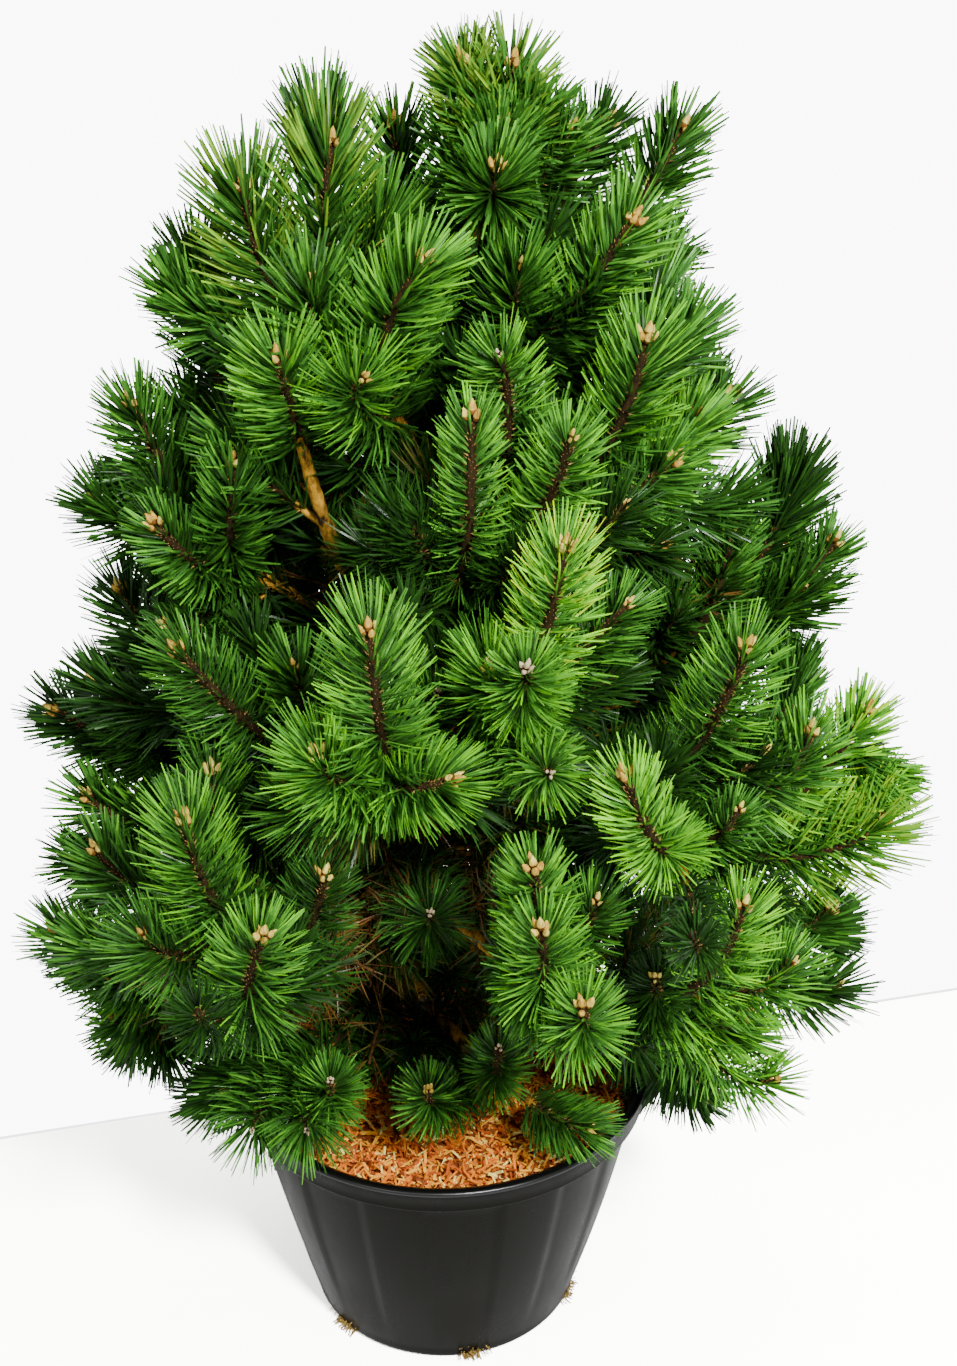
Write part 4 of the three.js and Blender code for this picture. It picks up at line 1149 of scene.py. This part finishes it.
def pot_object():
    collar = POT_HEIGHT - COLLAR_HEIGHT - COLLAR_DROP
    corner = [(BASE_RADIUS - BASE_ROUNDING + BASE_ROUNDING * math.sin(a * RAD),
               BASE_ROUNDING - BASE_ROUNDING * math.cos(a * RAD)) for a in range(0, 91, 15)]
    body = [(BASE_RADIUS + (SHOULDER_RADIUS - BASE_RADIUS) * t + POT_BULGE * math.sin(math.pi * t),
             BASE_ROUNDING + (collar - BASE_ROUNDING) * t) for t in np.linspace(0.04, 1, 26)]
    rim = [(COLLAR_RADIUS + r, collar + z) for r, z in COLLAR_BAND]
    rim += [(COLLAR_RADIUS + 1.4, POT_HEIGHT - 7)]
    rim += [(LIP_RADIUS + r, POT_HEIGHT + z) for r, z in LIP]
    profile = np.array([(20, 0), (80, 0)] + corner + body + rim)
    n = len(profile)
    a = ring_angles(POT_COLUMNS)
    r = profile[:, :1] * np.ones((1, POT_COLUMNS))
    z = profile[:, 1:] * np.ones((1, POT_COLUMNS))
    # broad panels sunk a little into the body, fading out towards the base
    phase = np.mod(a * PANELS / TURN + PANEL_TURN, 1)
    panel = smooth_step(0.0, 0.05, phase) * (1 - smooth_step(0.52, 0.57, phase))
    height = smooth_step(20, 120, z) * (1 - smooth_step(collar - 3, collar - 1, z))
    r = r - PANEL_RELIEF * panel[None, :] * height
    verts = np.stack([r * np.sin(a), -r * np.cos(a), z], -1).reshape(-1, 3)
    # the drain openings, and the floor's middle
    spacing = 360 / DRAIN_COUNT
    azimuth = (np.arange(POT_COLUMNS) + 0.5) * 360 / POT_COLUMNS
    off = (azimuth - DRAIN_TURN + spacing / 2) % spacing - spacing / 2
    at_drain = np.abs(off) * RAD * BASE_RADIUS < DRAIN_WIDTH / 2
    low = (profile[:-1, 0] > BASE_RADIUS - 9) & (profile[1:, 1] < DRAIN_HEIGHT + 3)
    whole = ~(low[:, None] & at_drain)
    cells = np.moveaxis(ring_tris(n, POT_COLUMNS), 0, 2)[whole]
    lip = np.broadcast_to(np.arange(n - 1)[:, None] >= n - len(LIP), whole.shape)[whole]
    tris = np.concatenate([cells.reshape(-1, 3), fan_tris(len(verts), np.arange(POT_COLUMNS))])
    index = np.concatenate([np.repeat(lip, 2), np.zeros(POT_COLUMNS, bool)])
    verts = np.concatenate([verts, [[0, 0, 0]]]) + POT_SHIFT
    batch = Batch().add(verts, tris, index)
    pot = batch.make("pot_shell", [pot_plastic.mat, pot_lip.mat], smooth=True)
    wall = pot.modifiers.new("wall", "SOLIDIFY")
    wall.thickness = POT_SKIN * MM
    wall.offset = -1
    return pot


pot_lip = Paint("pot_lip", srgb(10, 10, 10), 0.3)
pot_lip.bump(pot_lip.noise(700, 3), 0.15, 0.0005)
pot_plastic = Paint("pot_plastic", srgb(22, 23, 23), 0.42, 0.09)
pot_plastic.inputs["Specular Tint"].default_value = (1.0, 0.99, 0.82, 1)
pot_plastic.bump(pot_plastic.noise(900, 3), 0.18, 0.0006)
scuff = pot_plastic.noise(22, 5, 0.7, (1, 1, 0.25))
pot_plastic.ramp(scuff, "Roughness", (0.35, (0.24,) * 3), (0.7, (0.4,) * 3))
pot_plastic.ramp(scuff, "Base Color", (0.3, srgb(5, 5, 3)), (0.75, srgb(10, 10, 6)))

pot = pot_object()
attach(pot, "root")
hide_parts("pot")

# ---- mulch
CHIP_TONES = [(232, 130, 22), (255, 184, 54), (190, 88, 12), (255, 236, 128), (124, 58, 10)]
CHIP_SHARES = [0.34, 0.22, 0.22, 0.1, 0.12]
CHIP_COUNT = 6500
# A chip's length, width and thickness: the least, what chance adds, and the power of chance.
CHIP_SIZES = ((6, 20, 1.8), (1.5, 2.9, 1), (0.9, 1.6, 1))
CHIP_FACES = [(0, 2, 1), (0, 3, 2), (4, 5, 6), (4, 6, 7), (0, 1, 5), (0, 5, 4), (1, 2, 6),
              (1, 6, 5), (2, 3, 7), (2, 7, 6), (3, 0, 4), (3, 4, 7)]
CHIP_CORNERS = ((-0.5, -0.5), (0.5, -0.5), (0.5, 0.5), (-0.5, 0.5))
FILL_RADIUS = SHOULDER_RADIUS - 8
FILL_COLUMNS = 72
FILL_WALL = ((BASE_RADIUS - 16, 4.5), (BASE_RADIUS - 8, 13), (SHOULDER_RADIUS - 12, 258),
             (FILL_RADIUS, 272))
HEAP_RADIUS = 107
HEAP_SLOPE = 120
fill_paints = [Paint("substrate", srgb(70, 42, 26), 0.95)]
noise = fill_paints[0].noise(240, 6)
fill_paints[0].ramp(noise, "Base Color", (0.3, srgb(110, 50, 12)), (0.7, srgb(200, 100, 30)))
fill_paints[0].bump(noise, 1.0, 0.004)
for k, tone in enumerate(CHIP_TONES):
    paint = Paint(f"bark_chip_{k + 1}", srgb(*tone), 0.8)
    paint.bump(paint.noise(500, 3), 0.5, 0.0008)
    fill_paints.append(paint)


def mulch_top(x, y):
    away = np.hypot(x - TRUNK_X[0], y - TRUNK_Y[0])
    fall = np.clip((away - HEAP_RADIUS) / HEAP_SLOPE, 0, 1)
    return SEAT_HEIGHT + (MULCH_LEVEL - SEAT_HEIGHT) * fall


fill = Batch()
a = ring_angles(FILL_COLUMNS)
grid = [np.stack([radius * np.sin(a), -radius * np.cos(a), np.full(FILL_COLUMNS, z)], -1)
        for radius, z in FILL_WALL]
for t in np.linspace(1, 0.02, 22):
    x, y = (FILL_RADIUS - 1) * t * np.sin(a), -(FILL_RADIUS - 1) * t * np.cos(a)
    grid.append(np.stack([x, y, mulch_top(x, y) - 4 + rng.normal(0, 1.0, FILL_COLUMNS)], -1))
fill.add(np.array(grid).reshape(-1, 3) + POT_SHIFT, ring_tris(len(grid), FILL_COLUMNS))
for _ in range(CHIP_COUNT):
    away = (FILL_RADIUS - 4) * math.sqrt(rng.random())
    azimuth = rng.random() * TURN
    x, y = away * math.sin(azimuth) + POT_SHIFT[0], -away * math.cos(azimuth)
    length, width, thick = (least + more * rng.random() ** power
                            for least, more, power in CHIP_SIZES)
    yaw, pitch = rng.random() * 6.28, rng.normal(0, 0.5)
    d = np.array([math.cos(yaw) * math.cos(pitch), math.sin(yaw) * math.cos(pitch),
                  math.sin(pitch)])
    s = unit(np.cross(d, UP) + rng.normal(0, 0.35, 3))
    s = unit(s - d * s.dot(d))
    up = np.cross(s, d)
    center = np.array([x, y, float(mulch_top(x, y)) - 3.0 + 7.5 * rng.random()])
    center[2] += abs(math.sin(pitch)) * length * 0.3
    tapers = (-0.5, rng.uniform(0.4, 0.9)), (0.5, rng.uniform(0.3, 0.9))
    corners = [center + d * length * (end + 0.08 * rng.random()) + s * width * taper * across
               + up * thick * over for end, taper in tapers for across, over in CHIP_CORNERS]
    fill.add(corners, CHIP_FACES, 1 + rng.choice(len(CHIP_TONES), p=CHIP_SHARES))
fill_piece = fill.make("mulch_chips", [paint.mat for paint in fill_paints])
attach(fill_piece, "root")
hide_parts("mulch")

# roots and fibre that show in the drain openings
FIBRES_PER_DRAIN = 80
FIBRE_RADII = np.linspace(1.2, 0.5, 6)
root_fibre = Paint("root_fibre", srgb(168, 142, 72), 0.9)
root_fibre.ramp(root_fibre.noise(300, 3), "Base Color",
                (0.3, srgb(64, 48, 16)), (0.7, srgb(190, 156, 74)))
fibres = Batch()
for k in range(DRAIN_COUNT):
    out = outwards(DRAIN_TURN + k * 360 / DRAIN_COUNT)
    right = rightwards(out)
    for _ in range(FIBRES_PER_DRAIN):
        start = (out * (BASE_RADIUS - 12) + POT_SHIFT + right * rng.normal(0, 8)
                 + UP * rng.uniform(3, 14))
        end = start + out * rng.uniform(8, 20) + right * rng.normal(0, 7) + UP * rng.normal(-1.5, 4)
        end[2] = max(1.0, end[2])
        mid = (start + end) / 2 + rng.normal(0, 2, 3)
        mid[2] = max(1.2, mid[2])
        fibres.add(*tube_mesh(bezier(start, mid, mid, end, 5), FIBRE_RADII, 4))
fibre_piece = fibres.make("drain_roots", [root_fibre.mat])
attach(fibre_piece, "root")

# ---- studio, in metres
WALL_SEEN = 10.0
FLOOR_SEEN = 8.0
LINE_SEEN = 3.4
LINE_WIDTH = 0.006
LINE_LIFT = 0.0005
WALL_REACH = 12
WALL_BEHIND = 0.391
WALL_ASKEW = 0.257
BOARD_WHITE = 0.8
WORLD_STRENGTH = 0.24
CAMERA_PLACE = (0.037, -1.794, 1.629)
CAMERA_PITCH = 25.2
CAMERA_LENS = 50
CAMERA_SENSOR = 36
# Each lamp: place, the height it aims at over the origin, its sides, watts.
LAMPS = {
    "key": ((1.0, -2.5, 2.9), 0.75, (0.5, 0.5), 235),
    "fill": ((-1.5, -2.4, 2.3), 0.7, (1.2, 1.2), 22),
    "side_left": ((-2.4, 0.7, 0.9), 0.9, (0.4, 1.2), 12),
    "back": ((0.2, 1.6, 3.0), 0.8, (1.6, 0.6), 30),
    "side_right": ((2.4, 0.1, 1.1), 0.7, (0.4, 2.0), 24),
}


def white_board(name, seen, glow=False):
    """Camera rays see floor and wall over-exposed, as a flash leaves them; the light that
    they give back to the plant is that of plain white board."""
    mat = bpy.data.materials.new(name)
    mat.use_nodes = True
    nodes, link = mat.node_tree.nodes, mat.node_tree.links.new
    nodes.clear()
    out, mix, path, board, bright = (nodes.new("ShaderNode" + kind) for kind in (
        "OutputMaterial", "MixShader", "LightPath", "BsdfDiffuse",
        "Emission" if glow else "BsdfDiffuse"))
    board.inputs["Color"].default_value = (*(BOARD_WHITE,) * 3, 1)
    if glow:
        bright.inputs["Strength"].default_value = seen
    else:
        bright.inputs["Color"].default_value = (seen, seen, seen * 0.94, 1)
    link(path.outputs["Is Camera Ray"], mix.inputs["Fac"])
    link(board.outputs[0], mix.inputs[1])
    link(bright.outputs[0], mix.inputs[2])
    link(mix.outputs[0], out.inputs["Surface"])
    return mat


def plane(name, corners, material):
    mesh = bpy.data.meshes.new(name)
    mesh.from_pydata(corners, [], [(0, 1, 2, 3)])
    mesh.materials.append(material)
    obj = add_object(name, mesh)


def wall_foot(side, lift=0.0, behind=0.0):
    """The foot of the wall runs slightly askew behind the plant."""
    x = side * WALL_REACH
    return (x, WALL_BEHIND + WALL_ASKEW * x + behind, lift)


plane("floor", [(-WALL_REACH, -5, 0), (WALL_REACH, -5, 0), wall_foot(1), wall_foot(-1)],
      white_board("studio_floor", FLOOR_SEEN))
# a thin strip along the wall's foot, which camera rays see dimmer than floor and wall, so that it
# shows as a grey line
plane("wall_foot_strip", [wall_foot(-1, LINE_LIFT), wall_foot(1, LINE_LIFT),
                   wall_foot(1, LINE_LIFT, LINE_WIDTH), wall_foot(-1, LINE_LIFT, LINE_WIDTH)],
      white_board("studio_line", LINE_SEEN, True))
plane("backdrop", [wall_foot(-1), wall_foot(1), (WALL_REACH, 40, 0), (-WALL_REACH, 40, 0)],
      white_board("studio_wall", WALL_SEEN, True))

for name, (position, aimed_at, size, power) in LAMPS.items():
    light = bpy.data.lights.new(name, "AREA")
    light.shape = "RECTANGLE"
    light.size, light.size_y = size
    light.energy = power
    lamp = add_object(name, light)
    lamp.location = position
    x, y, z = np.array((0, 0, aimed_at)) - np.array(position)
    lamp.rotation_euler = (math.pi / 2 + math.atan2(z, math.hypot(x, y)), 0,
                           math.atan2(y, x) - math.pi / 2)

world = bpy.data.worlds.new("studio")
world.use_nodes = True
world.node_tree.nodes["Background"].inputs["Color"].default_value = (1, 1, 1, 1)
world.node_tree.nodes["Background"].inputs["Strength"].default_value = WORLD_STRENGTH
bpy.context.scene.world = world

camera_data = bpy.data.cameras.new("camera")
camera_data.lens = CAMERA_LENS
camera_data.sensor_width = CAMERA_SENSOR
camera = add_object("camera", camera_data)
camera.location = CAMERA_PLACE
camera.rotation_euler = (math.radians(90 - CAMERA_PITCH), 0, 0)
bpy.context.scene.camera = camera
